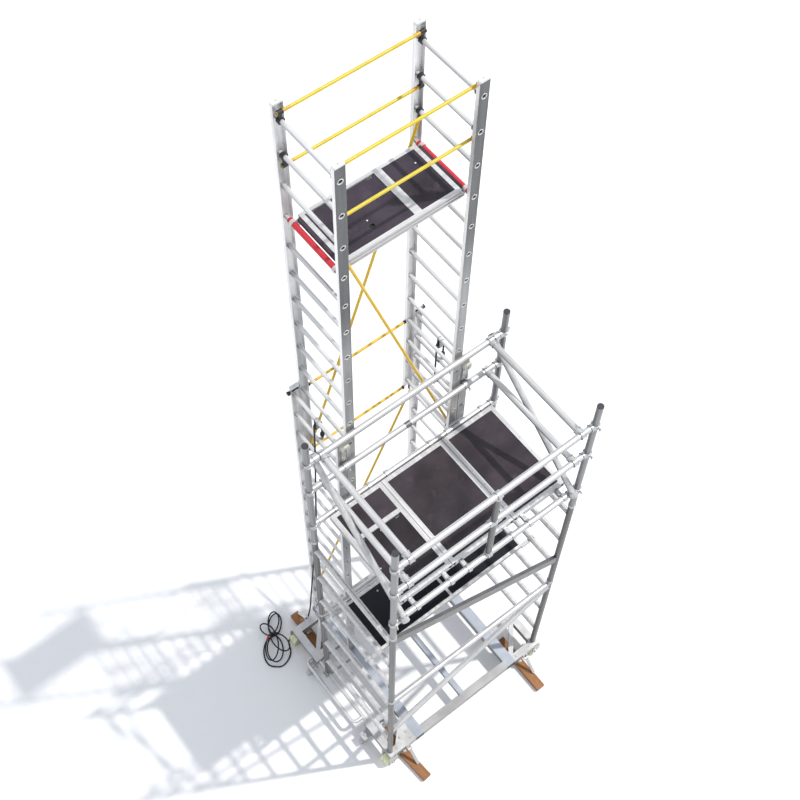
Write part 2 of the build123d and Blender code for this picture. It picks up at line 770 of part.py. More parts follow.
def hatch_panel(x0, x1, y0, y1, z0, z1, axis_y):
    """A plywood flap with hinge barrels along its rear edge."""
    z = (z0 + z1) / 2
    panel = bar(x0, x1, y0, axis_y, z0, z1)
    panel = panel + rod((x0, axis_y, z), (x1, axis_y, z), z1 - z0)
    for x in (x0 + hinge_inset, x1 - hinge_inset):
        half = hinge_knuckle / 2
        notch = bar(x - half, x + half, axis_y - z1 + z0, axis_y + z1 - z0, z0 - 1, z1 + 1)
        panel = panel - notch
    return panel - rod((x0 - 1, axis_y, z), (x1 + 1, axis_y, z), hinge_pin + 2 * run_gap)


def hatch_hinges(node, x0, x1, axis_y, z, thickness, member_face):
    """Fixed hinge leaves that fill the notches of a hatch and carry its pin."""
    for x in (x0 + hinge_inset, x1 - hinge_inset):
        half = hinge_knuckle / 2 - free_gap
        barrel = rod((x - half, axis_y, z), (x + half, axis_y, z), thickness)
        leaf = bar(x - half, x + half, axis_y, member_face, z - thickness / 4, z + thickness / 4)
        pin_reach = hinge_knuckle / 2 + hinge_inset / 2
        pin = rod((x - pin_reach, axis_y, z), (x + pin_reach, axis_y, z), hinge_pin)
        add(node, barrel + leaf + pin)


def working_decks():
    """Three decks side by side, hooked on the deck rails, the left one with a hatch."""
    top = deck_rail_z + deck_rise
    bottom = top - deck_height
    y0 = front_post_y + deck_front_room
    y1 = rear_post_y - deck_rear_room
    panel_top = top - deck_panel_drop
    panel_low = panel_top - deck_panel_thickness
    x = deck_left_edge
    for index, width in enumerate(deck_widths):
        x0, x1 = x, x + width
        x = x1 + deck_gap
        in0, in1 = x0 + deck_member, x1 - deck_member
        in_front, in_rear = y0 + deck_member, y1 - deck_member
        for side in ((x0, in0), (in1, x1)):
            add("working_deck_frames", box_tube(*side, y0, y1, bottom, top, "y", beam_wall))
        for edge in ((y0, in_front), (in_rear, y1)):
            add("working_deck_frames", box_tube(in0, in1, *edge, bottom, top, "x", beam_wall))
        for hook_x in (x0 + hook_inset, x1 - hook_inset):
            for rail_y, edge_y, turn in ((front_post_y, y0, 90), (rear_post_y, y1, -90)):
                reach = abs(edge_y - rail_y)
                claw = hook_claw(rail_od, hook_wall, hook_width, reach, hook_shank)
                placed = Pos(hook_x, rail_y, deck_rail_z) * Rot(0, 0, turn) * Rot(90, 0, 0) * claw
                add("deck_hooks", placed)
        if index == 0:
            member_y = in_rear - hatch_share_member
            ends = (member_y, member_y + deck_member)
            add("working_deck_frames", box_tube(in0, in1, *ends, bottom, top, "x", beam_wall))
            add("deck_panels", bar(in0, in1, member_y + deck_member, in_rear, panel_low, panel_top))
            lip_z = panel_low - free_gap
            for edge, inward in ((in0, 1), (in1, -1)):
                low = lip_z - hatch_lip_height
                lip = bar(edge, edge + inward * hatch_lip, in_front, member_y, low, lip_z)
                add("working_deck_frames", lip)
            axis_y = member_y - deck_panel_thickness / 2 - hatch_room
            edges = (in0 + hatch_room, in1 - hatch_room)
            front = in_front + hatch_room
            add("working_hatch", hatch_panel(*edges, front, axis_y, panel_low, panel_top, axis_y))
            middle = (panel_low + panel_top) / 2
            hatch_hinges("working_deck_frames", *edges, axis_y, middle, deck_panel_thickness, member_y)
            print("working hatch axis", axis_y, middle)
        else:
            add("deck_panels", bar(in0, in1, in_front, in_rear, panel_low, panel_top))


def landing_deck():
    """The lower deck, hooked on a rung of each end frame."""
    rung_z = base_top + section_height + end_rung_first
    top = rung_z + deck_rise
    bottom = top - landing_height
    y0, y1 = landing_front, landing_front + landing_width
    x0, x1 = -landing_half_length, landing_half_length
    for edge in ((y0, y0 + landing_member), (y1 - landing_member, y1)):
        add("landing_deck_frame", box_tube(x0, x1, *edge, bottom, top, "x", beam_wall))
    inner = (y0 + landing_member, y1 - landing_member)
    half = landing_member / 2
    for edge in ((x0, x0 + landing_member), (-half, half), (x1 - landing_member, x1)):
        add("landing_deck_frame", box_tube(*edge, *inner, bottom, top, "y", beam_wall))
    panel_top = top - deck_panel_drop
    for edge in ((x0 + landing_member, -landing_member / 2), (landing_member / 2, x1 - landing_member)):
        add("deck_panels", bar(*edge, *inner, panel_top - deck_panel_thickness, panel_top))
    for side in (-1, 1):
        reach = post_x - landing_half_length
        for y in (y0 + landing_member / 2, y1 - landing_member / 2):
            claw = hook_claw(rail_od, hook_wall, hook_width, reach, hook_shank)
            turn = 180 if side > 0 else 0
            add("deck_hooks", Pos(side * post_x, y, rung_z) * Rot(0, 0, turn) * Rot(90, 0, 0) * claw)


def stile(x, face_y, inward, bottom, top, rungs):
    """A channel stile whose web faces out, with holes for the rung ends."""
    web = bar(x - stile_width / 2, x + stile_width / 2, face_y, face_y + inward * stile_depth, bottom, top)
    hollow = bar(x - stile_width / 2 + stile_wall, x + stile_width / 2 - stile_wall,
                 face_y + inward * stile_wall, face_y + inward * stile_depth, bottom, top)
    holes = [rod((x, face_y, z), (x, face_y + inward * stile_wall, z), rung_od + 2 * seat_gap) for z in rungs]
    return web - hollow - holes


def stile_cap(x, face_y, inward, top):
    """A moulded cap on the top of a stile."""
    size_x = stile_width + 2 * cap_overhang
    size_y = stile_depth + 2 * cap_overhang
    cap = Box(size_x, size_y, cap_height, align=(Align.CENTER, Align.CENTER, Align.MIN))
    cap = fillet(cap.edges().filter_by(Axis.Z), cap_corner)
    cap = fillet(cap.edges().group_by(Axis.Z)[-1], 5)
    return Pos(x, face_y + inward * stile_depth / 2, top) * cap


def ladder_frame(prefix, x, bottom, top, rungs, knob_z=None):
    """One ladder side frame: two channel stiles, their caps and the rungs through both webs."""
    for face_y, inward in ((ladder_front_y, 1), (ladder_rear_y, -1)):
        channel = stile(x, face_y, inward, bottom, top, rungs)
        if knob_z is not None and inward < 0:
            y = face_y + inward * stile_depth / 2
            screw_ends = [(x + way * stile_width, y, knob_z) for way in (-1, 1)]
            channel = channel - rod(*screw_ends, lock_screw + 2 * run_gap)
        add(prefix + "_ladder_stiles", channel)
        add(prefix + "_ladder_caps", stile_cap(x, face_y, inward, top))
    for z in rungs:
        add(prefix + "_ladder_rungs", tube((x, ladder_front_y, z), (x, ladder_rear_y, z), rung_od, rung_wall))


def lock_knob(name, side):
    """A star knob whose screw passes through the fixed stile and bears on the sliding one."""
    y = ladder_rear_y - stile_depth / 2
    z = fixed_top_z - knob_drop
    tip = side * (upper_x + stile_width / 2 + free_gap)
    root = side * (fixed_x + stile_width / 2 + knob_stand_off)
    screw = rod((tip, y, z), (root, y, z), lock_screw)
    plane = Plane(origin=(root, y, z), x_dir=(0, 1, 0), z_dir=(side, 0, 0))
    star = Circle(knob_diameter / 2 - knob_lobe / 3)
    star = star + PolarLocations(knob_diameter / 2 - knob_lobe / 2, knob_lobes) * Circle(knob_lobe / 2)
    knob = plane * extrude(star, knob_height)
    collar = rod((root, y, z), (root - side * (knob_stand_off - free_gap), y, z), lock_screw * 1.8)
    add("lock_knob_" + name, screw + knob + collar)


def pulley_set(name, side):
    """A rope pulley hung under the top rung of a fixed ladder frame, in its bracket."""
    x = side * fixed_x
    y = ladder_mid_y
    z = fixed_top_rung_z - pulley_drop
    half = pulley_width / 2
    wheel = rod((x, y - half, z), (x, y + half, z), pulley_diameter)
    groove = Pos(x, y, z) * Rot(90, 0, 0) * Torus(pulley_diameter / 2 + 1, pulley_groove)
    bore = rod((x, y - half, z), (x, y + half, z), pulley_axle + 2 * run_gap)
    add("pulley_" + name, wheel - groove - bore)
    bracket = None
    for cheek in (-1, 1):
        y0 = y + cheek * (half + pulley_cheek_room)
        y1 = y0 + cheek * pulley_cheek
        plate = bar(x - pulley_cheek_width / 2, x + pulley_cheek_width / 2, y0, y1, z, fixed_top_rung_z)
        plate = plate + rod((x, y0, z), (x, y1, z), pulley_cheek_width)
        plate = plate + rod((x, y0, fixed_top_rung_z), (x, y1, fixed_top_rung_z), rung_od + 2 * pulley_cheek)
        bracket = plate if bracket is None else bracket + plate
    reach = half + pulley_cheek_room + pulley_cheek
    pin = rod((x, y - reach - 4, z), (x, y + reach + 4, z), pulley_axle)
    rung_bore = rod((x, y - 60, fixed_top_rung_z), (x, y + 60, fixed_top_rung_z), rung_od + 2 * seat_gap)
    add("pulley_brackets", bracket + pin - rung_bore)


def rope_cleat(side, rung_z, strand_x):
    """A clip on a rung that holds the end of a rope strand."""
    x = side * fixed_x
    y = ladder_mid_y
    half = cleat_width / 2
    ring = rod((x, y - half, rung_z), (x, y + half, rung_z), rung_od + 2 * pulley_cheek)
    arm = rod((x, y, rung_z), (strand_x, y, rung_z), rope_diameter + 6)
    socket = rod((strand_x, y, rung_z - 14), (strand_x, y, rung_z + 14), rope_diameter + 8)
    bore = rod((x, y - 60, rung_z), (x, y + 60, rung_z), rung_od + 2 * seat_gap)
    return ring + arm + socket - bore


def clamp_foot():
    """The foot of a clamp block, over its rail where the stile is tall enough, and under it elsewhere."""
    over = mid_rail_z + clamp_rise
    if over + clamp_height + clamp_end_room <= fixed_top_z:
        return over
    return mid_rail_z - clamp_rise - clamp_height


def tower_clamps():
    """Moulded blocks on the fixed stiles, and the straps that tie them to the rear mid rail."""
    low = clamp_foot()
    top = low + clamp_height
    tied = low if low > mid_rail_z else top
    for side in (-1, 1):
        x = side * (fixed_x - clamp_shift)
        sides = (x - clamp_half_width, x + clamp_half_width)
        block = bar(*sides, ladder_front_y - clamp_depth, ladder_front_y, low, top)
        add("tower_clamps", chamfer(block.edges().filter_by(Axis.Y), clamp_bevel))
        half = coupler_ring_length / 2
        ring_ends = [(x + way * half, rear_post_y, mid_rail_z) for way in (-1, 1)]
        ring = rod(*ring_ends, rail_od + 2 * coupler_ring_wall)
        strap_sides = (x - strap_half_width, x + strap_half_width)
        strap_ends = sorted((mid_rail_z, tied))
        strap = bar(*strap_sides, ladder_front_y - strap_thickness, ladder_front_y, *strap_ends)
        bore_ends = [(x + way * 2 * half, rear_post_y, mid_rail_z) for way in (-1, 1)]
        bore = rod(*bore_ends, rail_od + 2 * seat_gap)
        add("tube_couplers", ring + strap - bore)
        root = (x, rear_post_y - rail_od / 2 - coupler_ring_wall, mid_rail_z)
        add("coupler_bolts", wing_bolt_at(root, (0, -1, 0), (0, 0, 1)))


def platform():
    """The top platform: two grooved beams, three cross members, a fixed panel and a hatch."""
    rung_z = upper_rungs[platform_rung]
    top = rung_z + platform_rise
    bottom = top - platform_beam_height
    half = upper_x - sleeve_od / 2 - platform_hook_wall - platform_end_room
    y0 = ladder_front_y + stile_depth + platform_side_room
    y1 = ladder_rear_y - stile_depth - platform_side_room
    for side in (-1, 1):
        x = side * upper_x
        start = (x, ladder_front_y + stile_depth + sleeve_room, rung_z)
        finish = (x, ladder_rear_y - stile_depth - sleeve_room, rung_z)
        add("red_sleeves", rod(start, finish, sleeve_od) - rod(start, finish, rung_od + 2 * seat_gap))
    for edge, inner, outward in ((y0, y0 + platform_beam_width, -1), (y1, y1 - platform_beam_width, 1)):
        beam = bar(-half, half, edge, inner, bottom, top)
        for share in (0.3, 0.7):
            z = bottom + share * platform_beam_height
            beam = beam - bar(-half, half, edge, edge - outward * platform_groove,
                              z - platform_groove_height / 2, z + platform_groove_height / 2)
        add("platform_frame", beam)
        for side in (-1, 1):
            reach = upper_x - half
            claw = hook_claw(sleeve_od, platform_hook_wall, platform_hook_width, reach, hook_shank)
            turn = 180 if side > 0 else 0
            middle_y = (edge + inner) / 2
            place = Pos(side * upper_x, middle_y, rung_z) * Rot(0, 0, turn) * Rot(90, 0, 0)
            add("platform_frame", place * claw)
    in0, in1 = y0 + platform_beam_width, y1 - platform_beam_width
    members = (
        (-half, -half + platform_member),
        (platform_middle_x - platform_middle_width / 2, platform_middle_x + platform_middle_width / 2),
        (half - platform_member, half),
    )
    for x0, x1 in members:
        add("platform_frame", box_tube(x0, x1, in0, in1, bottom + 15, top, "y", beam_wall))
    panel_top = top - deck_panel_drop
    panel_low = panel_top - platform_panel_thickness
    add("platform_panel", bar(members[1][1], members[2][0], in0, in1, panel_low, panel_top))
    for side in (-1, 1):
        strip = (side * half, side * (half + edge_strip))
        add("platform_panel", bar(*strip, in0, in1, panel_top - edge_strip_height, panel_top))
    axis_y = in1 - platform_panel_thickness / 2 - hatch_room
    edges = (members[0][1] + hatch_room, members[1][0] - hatch_room)
    hatch = hatch_panel(*edges, in0 + hatch_room, axis_y, panel_low, panel_top, axis_y)
    ring_x = edges[0] + finger_ring_share * (edges[1] - edges[0])
    ring_y = in0 + finger_ring_inset
    rim = rod((ring_x, ring_y, panel_top), (ring_x, ring_y, panel_top + 2), finger_ring)
    cup_ends = [(ring_x, ring_y, panel_top - finger_cup), (ring_x, ring_y, panel_top + 3)]
    cup = rod(*cup_ends, finger_ring - 2 * finger_ring_wall)
    add("platform_hatch", hatch + rim - cup)
    print("finger cup", ring_x, ring_y, panel_top)
    lip_z = panel_low - free_gap
    for edge, inward in ((members[0][1], 1), (members[1][0], -1)):
        add("platform_frame", bar(edge, edge + inward * hatch_lip, in0, in1, lip_z - hatch_lip_height, lip_z))
    middle = (panel_low + panel_top) / 2
    hatch_hinges("platform_frame", *edges, axis_y, middle, platform_panel_thickness, in1)
    print("platform hatch axis", axis_y, middle)


def claw(rung_point, brace_point, far_point, tail):
    """A moulded claw that grips a rung and holds the end of a brace above or below it."""
    centre = Vector(*rung_point)
    half = Vector(0, claw_width / 2, 0)
    reach = claw_socket_length / 2
    socket_ends = [toward(brace_point, far_point, way * reach) for way in (-1, 1)]
    socket = rod(*socket_ends, claw_socket_od)
    body = rod(centre - half, centre + half, claw_od) + rod(rung_point, brace_point, claw_link) + socket
    body = body - rod(centre - half * 3, centre + half * 3, rung_od + 2 * seat_gap)
    bore_end = toward(brace_point, far_point, -tail - seat_gap)
    bore = rod(bore_end, toward(brace_point, far_point, 3 * reach), brace_od + 2 * seat_gap)
    return max((body - bore).solids(), key=lambda solid: solid.volume)


def claw_brace(node, first_rung, first_lift, second_rung, second_lift, tail):
    """A brace tube beside two rungs, with a claw at each end."""
    start = (first_rung[0], first_rung[1], first_rung[2] + first_lift)
    end = (second_rung[0], second_rung[1], second_rung[2] + second_lift)
    add(node, tube(toward(start, end, -tail), toward(end, start, -tail), brace_od, brace_wall))
    add("brace_claws", claw(first_rung, start, end, tail), claw(second_rung, end, start, tail))


def cross_brace(z):
    """A level brace between the rear stiles of the sliding frames, in a cup at each end."""
    y = ladder_rear_y - stile_depth / 2
    face = upper_x - stile_width / 2
    end = face - cross_cup_floor
    add("ladder_braces", tube((-end, y, z), (end, y, z), brace_od, brace_wall))
    for side in (-1, 1):
        cup = rod((side * face, y, z), (side * (face - cross_cup_length), y, z), cross_cup_od)
        add("brace_claws", cup - rod((side * (end + seat_gap), y, z), (0, y, z), brace_od + 2 * seat_gap))


def ladder_braces():
    """Guard rails and braces clipped to the sliding frames, and one brace across the fixed frames."""
    front = ladder_front_y + stile_depth + brace_edge_room
    rear = ladder_rear_y - stile_depth - brace_edge_room
    for y in (front, rear):
        for z, lift in ((upper_rungs[0], top_rail_lift), (upper_rungs[1], -second_rail_drop)):
            claw_brace("platform_guard_rails", (-upper_x, y, z), lift, (upper_x, y, z), lift, rail_tail)
    for y, side in ((front, -1), (rear, 1)):
        high = (side * upper_x, y, upper_rungs[2])
        low = (-side * upper_x, y, upper_rungs[13])
        claw_brace("ladder_braces", high, -diagonal_drop, low, diagonal_lift, diagonal_tail)
    for level, lift in cross_brace_levels:
        cross_brace(upper_rungs[level] + lift)
    y = ladder_rear_y + fixed_brace_stand_off
    high = (fixed_x, y, base_top + fixed_brace_high)
    low = (-fixed_x, y, base_top + fixed_brace_low)
    add("fixed_brace", tube(high, low, brace_od, brace_wall))
    for point, other in ((high, low), (low, high)):
        x, z = point[0], point[2]
        block = bar(x - 22, x + 22, ladder_rear_y, y + brace_od / 2 + 8, z - 26, z + 26)
        block = fillet(block.edges().filter_by(Axis.Y), 8)
        reach = Vector(*toward(point, other, 80)) - Vector(*point)
        bore = rod(Vector(*point) - reach, Vector(*point) + reach, brace_od + 2 * seat_gap)
        add("brace_brackets", block - bore)


def biarc(p0, t0, p1, t1):
    """Two arcs that join two points with given directions."""
    v = p1 - p0
    t = t0 + t1
    square = 2 * (1 - t0.dot(t1))
    lean = v.dot(t)
    if abs(square) < 1e-9:
        d = v.dot(v) / (4 * v.dot(t1))
    else:
        d = (-lean + math.sqrt(lean * lean + 2 * v.dot(v) * (1 - t0.dot(t1)))) / square
    joint = (p0 + p1 + (t0 - t1) * d) * 0.5
    middle = (p1 - t1 * d) - (p0 + t0 * d)
    return [TangentArc(p0, joint, tangent=t0), TangentArc(joint, p1, tangent=middle.normalized())]


def coil_points():
    """Quarter points and directions of the loops that lie on the floor, from the run's end to the tail."""
    bundle = math.radians(coil_bundle_angle)
    across = Vector(math.cos(bundle), math.sin(bundle), 0)
    spread = Vector(-across.Y, across.X, 0)
    points = []
    for index, (angle, length, half_width) in enumerate(coil_loops):
        lean = math.radians(angle)
        out = Vector(math.cos(lean), math.sin(lean), 0)
        shift = spread * (coil_step * ((index % 3) - 1))
        waist = Vector(coil_waist[0], coil_waist[1], 0) + shift
        quarters = (0, 1, 2, 3) if index else (2, 3)
        for quarter in quarters:
            swing = math.pi / 2 * quarter
            reach = length * (1 - math.cos(swing)) / 2
            plan = waist + out * reach + across * (half_width * math.sin(swing))
            heading = out * (length / 2 * math.sin(swing)) + across * (half_width * math.cos(swing))
            rise = coil_pitch * (index + quarter / 4 - 0.5)
            slope = coil_pitch / (2 * length)
            direction = (heading.normalized() + Vector(0, 0, slope)).normalized()
            points.append((Vector(plan.X, plan.Y, rope_diameter / 2 + rise), direction))
    tail = Vector(coil_waist[0], coil_waist[1], 0) + across * 40
    points.append((Vector(tail.X, tail.Y, points[-1][0].Z + coil_pitch / 3), across))
    return points


def least_self_gap(path, spacing, diameter):
    """The least clear gap between parts of a cord that are not neighbours along it."""
    count = int(path.length / spacing)
    samples = [tuple(path @ (i / count)) for i in range(count + 1)]
    skip = int(4 * diameter / spacing)
    least = math.inf
    for i, first in enumerate(samples):
        for second in samples[i + skip:]:
            least = min(least, math.dist(first, second))
    return least - diameter


def filleted_route(name, route):
    """A cord's run with a round bend at each point, as wide as its shorter leg allows."""
    radii = []
    for before, here, after in zip(route, route[1:], route[2:]):
        a = Vector(*before) - Vector(*here)
        b = Vector(*after) - Vector(*here)
        turn = math.pi - math.radians(a.get_angle(b))
        radii.append(0.45 * min(a.length, b.length) / math.tan(max(turn, 0.02) / 2))
    print(name, "bend radii", [round(radius) for radius in radii])
    return FilletPolyline(*route, radius=radii)


def rope_tube(path):
    """A solid cord along a path."""
    section = Plane(origin=path @ 0, z_dir=path % 0) * Circle(rope_diameter / 2)
    return sweep(section, path=path)


def pulley_strands(side):
    """The half turn of rope over a pulley, from the inner strand to the outer one."""
    x = side * fixed_x
    y = ladder_mid_y
    z = fixed_top_rung_z - pulley_drop
    radius = pulley_diameter / 2 - pulley_groove + 1 + rope_diameter / 2 + 0.5
    inner = (x - side * radius, y, z)
    outer = (x + side * radius, y, z)
    return inner, (x, y, z + radius), outer


def hoist_ropes():
    """The left rope from its cleat over the pulley to the floor and its coil, and the short right rope."""
    inner, crown, outer = pulley_strands(-1)
    cleat_z = fixed_rungs[-2]
    add("pulley_brackets", rope_cleat(-1, cleat_z, inner[0]))
    rise = Line((inner[0], inner[1], cleat_z + 14), inner)
    over = ThreePointArc(inner, crown, outer)
    coil = coil_points()
    start, heading = coil[0]
    timber_top = timber_height + rope_diameter / 2 + free_gap
    floor = rope_diameter / 2
    lead = start - heading * 90
    route = [
        outer,
        (outer[0], outer[1], outer[2] - 120),
        (-592, 550, 3700),
        (-606, 588, 2780),
        (-612, 596, 2400),
        (-640, 668, 1560),
        (-660, 722, 880),
        (-664, 764, 440),
        (-672, 790, 250),
        (-680, 802, 140),
        (-713, 804, timber_top + 10),
        (-786, 804, timber_top + 7),
        (-809, 802, timber_top - 8),
        (-819, 799, floor + 14),
        (-845, 796, floor),
        (-905, 790, floor),
        (-966, 752, floor),
        (-985, 672, floor),
        (-1050, 612, floor),
        (lead.X, lead.Y, floor),
        (start.X, start.Y, start.Z),
    ]
    run = filleted_route("left rope", route)
    add("hoist_rope_runs", rope_tube(rise), rope_tube(over), rope_tube(run))
    edges = []
    for (p0, t0), (p1, t1) in zip(coil, coil[1:]):
        edges += biarc(p0, t0, p1, t1)
    loops = Wire(edges)
    add("hoist_rope_coil", rope_tube(loops))
    free_length = round(rise.length + over.length + run.length)
    print("left rope length", free_length, "coil length", round(loops.length))
    print("coil least self gap", round(least_self_gap(loops, 5.0, rope_diameter), 2))

    inner, crown, outer = pulley_strands(1)
    low_z, high_z = fixed_rungs[-3], fixed_rungs[-2]
    add("pulley_brackets", rope_cleat(1, high_z, outer[0]), rope_cleat(1, low_z, inner[0]))
    drop = Line((inner[0], inner[1], low_z + 14), inner)
    over = ThreePointArc(inner, crown, outer)
    tie = Line(outer, (outer[0], outer[1], high_z + 14))
    add("hoist_rope_runs", rope_tube(drop), rope_tube(over), rope_tube(tie))
    print("right rope length", round(drop.length + over.length + tie.length))


def build():
    """Make every node in the tower's own working frame."""
    trolley_frame()
    for name in corners:
        corner_frame(name)
        wheel_fork(name)
        hold_down(name)
    push_bar()
    caster("front", base_front_y + corner_depth - caster_inset_front)
    caster("rear", base_rear_y - corner_depth + caster_inset_rear)
    end_frame("left", -1)
    end_frame("right", 1)
    upper_posts()
    guard_rails()
    tower_braces()
    working_decks()
    landing_deck()
    knob_z = fixed_top_z - knob_drop
    for side, name in ((-1, "left"), (1, "right")):
        ladder_frame("fixed", side * fixed_x, base_top, fixed_top_z, fixed_rungs, knob_z)
        ladder_frame("upper", side * upper_x, upper_bottom_z, upper_top_z, upper_rungs)
        lock_knob(name, side)
        pulley_set(name, side)
    tower_clamps()
    platform()
    ladder_braces()
    hoist_ropes()


def centre_shift():
    """The move that puts the origin on the floor under the middle of the object, ropes left out."""
    rigid = [solid for name, solids in nodes.items() if not name.startswith("hoist_rope") for solid in solids]
    boxes = [solid.bounding_box() for solid in rigid]
    low = [min(getattr(box.min, axis) for box in boxes) for axis in "XYZ"]
    high = [max(getattr(box.max, axis) for box in boxes) for axis in "XYZ"]
    print("working frame box", low, high)
    return Pos(-(low[0] + high[0]) / 2, -(low[1] + high[1]) / 2, -low[2])


build()
shift = centre_shift()
print("shift", tuple(round(value, 4) for value in shift.position))
os.makedirs("parts", exist_ok=True)
for name, solids in nodes.items():
    export_step(Compound([shift * solid for solid in solids]), os.path.join("parts", name + ".step"))
print(len(nodes), "nodes,", sum(len(solids) for solids in nodes.values()), "solids")
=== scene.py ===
import math

import bmesh
import bpy
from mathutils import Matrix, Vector


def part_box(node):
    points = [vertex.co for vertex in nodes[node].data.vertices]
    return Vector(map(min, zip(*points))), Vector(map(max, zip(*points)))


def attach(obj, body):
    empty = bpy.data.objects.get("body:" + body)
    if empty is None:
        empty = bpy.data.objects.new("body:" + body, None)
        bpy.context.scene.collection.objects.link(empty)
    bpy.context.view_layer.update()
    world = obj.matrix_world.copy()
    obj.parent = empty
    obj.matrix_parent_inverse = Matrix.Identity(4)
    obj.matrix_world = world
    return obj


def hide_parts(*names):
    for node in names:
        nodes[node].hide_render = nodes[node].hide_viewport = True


# Catenary repair scaffold: finishes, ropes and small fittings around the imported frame

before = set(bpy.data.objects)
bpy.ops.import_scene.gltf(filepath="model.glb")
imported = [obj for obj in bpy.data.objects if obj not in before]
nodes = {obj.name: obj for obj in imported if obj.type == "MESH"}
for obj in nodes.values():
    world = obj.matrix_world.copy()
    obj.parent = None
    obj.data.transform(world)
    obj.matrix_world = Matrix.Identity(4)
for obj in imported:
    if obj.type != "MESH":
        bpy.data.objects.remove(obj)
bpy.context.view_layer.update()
stiles_low, stiles_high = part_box("fixed_ladder_stiles")

# Places and sizes in metres, measured from the tower's own centre lines

# Trolley
BASE_TOP = 0.250
BASE_FRONT_Y = -0.796
BASE_REAR_Y = 0.757
BEAM_WIDTH = 0.070
FRONT_BEAM_Y = BASE_FRONT_Y + BEAM_WIDTH / 2
REAR_BEAM_Y = BASE_REAR_Y - BEAM_WIDTH / 2
CHANNEL_INNER = 0.505
CHANNEL_OUTER = 0.605
CHANNEL_TAIL_Y = 0.825
CHANNEL_HEIGHT = 0.080
TIMBER_TOP = 0.060

# Work tower
POST_X = 0.866
FRONT_POST_Y = -0.740
REAR_POST_Y = 0.218
POST_RADIUS = 0.025
SECTION_HEIGHT = 1.500
END_RUNG_RISE = 0.345
END_RUNG_PITCH = 0.500
END_RUNGS = [BASE_TOP + END_RUNG_RISE + section * SECTION_HEIGHT + i * END_RUNG_PITCH
             for section in (0, 1) for i in range(3)]
RAIL_RADIUS = 0.024
SIDE_RAIL_X = 0.743
MID_POST_X = 0.004
DECK_RAIL_Z = 3.531
MID_RAIL_Z = 4.091
TOP_RAIL_Z = 4.497
PLANK_FOOT_Z = 1.850
COUPLER_REACH = 0.048
COUPLER_HALF = 0.018
COUPLER_WALL = 0.007
SLEEVE_RADIUS = 0.029

# Decks
DECK_TOP = 3.560
DECK_LEFT_X = -0.735
DECK_WIDTHS = (0.470, 0.577, 0.495)
DECK_GAP = 0.004
DECK_MEMBER = 0.035
DECK_FRONT_Y = -0.655
DECK_REAR_Y = 0.185
LANDING_TOP = 2.124
PLATFORM_TOP = 6.300
PANEL_DROP = 0.002
HINGE_REACH = 0.0085
PLATFORM_HINGE_X = -0.151
PLATFORM_HINGE_Y = 0.721
PLATFORM_HINGE_HALF = 0.2475
WORKING_HINGE_X = -0.500
WORKING_HINGE_Y = -0.109
WORKING_HINGE_HALF = 0.197
YELLOW_RAIL_HALF = 0.412

# Ladders
LADDER_FRONT_Y = 0.252
LADDER_REAR_Y = 0.818
LADDER_MID_Y = 0.535
FIXED_X = 0.555
UPPER_X = 0.477
FIRST_RUNG_Z = 0.381
RUNG_PITCH = 0.280
FIXED_RUNG_COUNT = 15
UPPER_RUNG_START = 11
UPPER_RUNG_COUNT = 14
FIXED_RUNGS = [FIRST_RUNG_Z + i * RUNG_PITCH for i in range(FIXED_RUNG_COUNT)]
UPPER_RUNGS = [FIRST_RUNG_Z + (UPPER_RUNG_START + i) * RUNG_PITCH for i in range(UPPER_RUNG_COUNT)]
STILE_OVER_RUNG = 0.111
CAP_HEIGHT = 0.016
TOWER = Vector(((stiles_low.x + stiles_high.x) / 2, (stiles_low.y + stiles_high.y) / 2 - LADDER_MID_Y, 0.0))

# Ropes
ROPE_RADIUS = 0.007
ROPE_LAY = 0.045
ROPE_STEP = 0.005
ROPE_STRANDS = 3
ROPE_SIDES = 24
STRAND_DEPTH = 0.10
PULLEY_Z = 4.241
STRAND_RADIUS = 0.0330
PULLEY_RUN = 0.075
CLEAT_SOCKET = 0.014
REST_GAP = 0.0005
COIL_WAIST = (-1.040, 0.895)
COIL_BUNDLE_ANGLE = -39.0
COIL_PITCH = 0.0155
COIL_STEP = 0.009
# Each loop of the coil: the way it points in degrees, its length and its half width
COIL_LOOPS = (
    (-125.0, 0.300, 0.095),
    (47.0, 0.230, 0.062),
    (-118.0, 0.285, 0.078),
    (100.0, 0.165, 0.036),
    (-84.0, 0.225, 0.066),
    (52.0, 0.215, 0.050),
    (-128.0, 0.270, 0.060),
)
COIL_POINTS_A_LOOP = 16
COIL_LEAST_HALF = 0.045
COIL_LEAST_BEND = 0.030
COIL_LEAD = 0.090
COIL_TAIL = 0.050
TAPE_PLACE = Vector((-1.127, 0.901, 0.100))
TAPE_LENGTH = 0.035
TAPE_THICKNESS = 0.0015
WHIPPING_LENGTH = 0.024
WHIPPING_THICKNESS = 0.0012
HITCH_TURNS = 3
HITCH_RISE = 0.028
HITCH_PITCH = 0.0125
HITCH_RADIUS = ROPE_RADIUS * 1.55
HITCH_HEIGHT = ROPE_RADIUS * 0.85

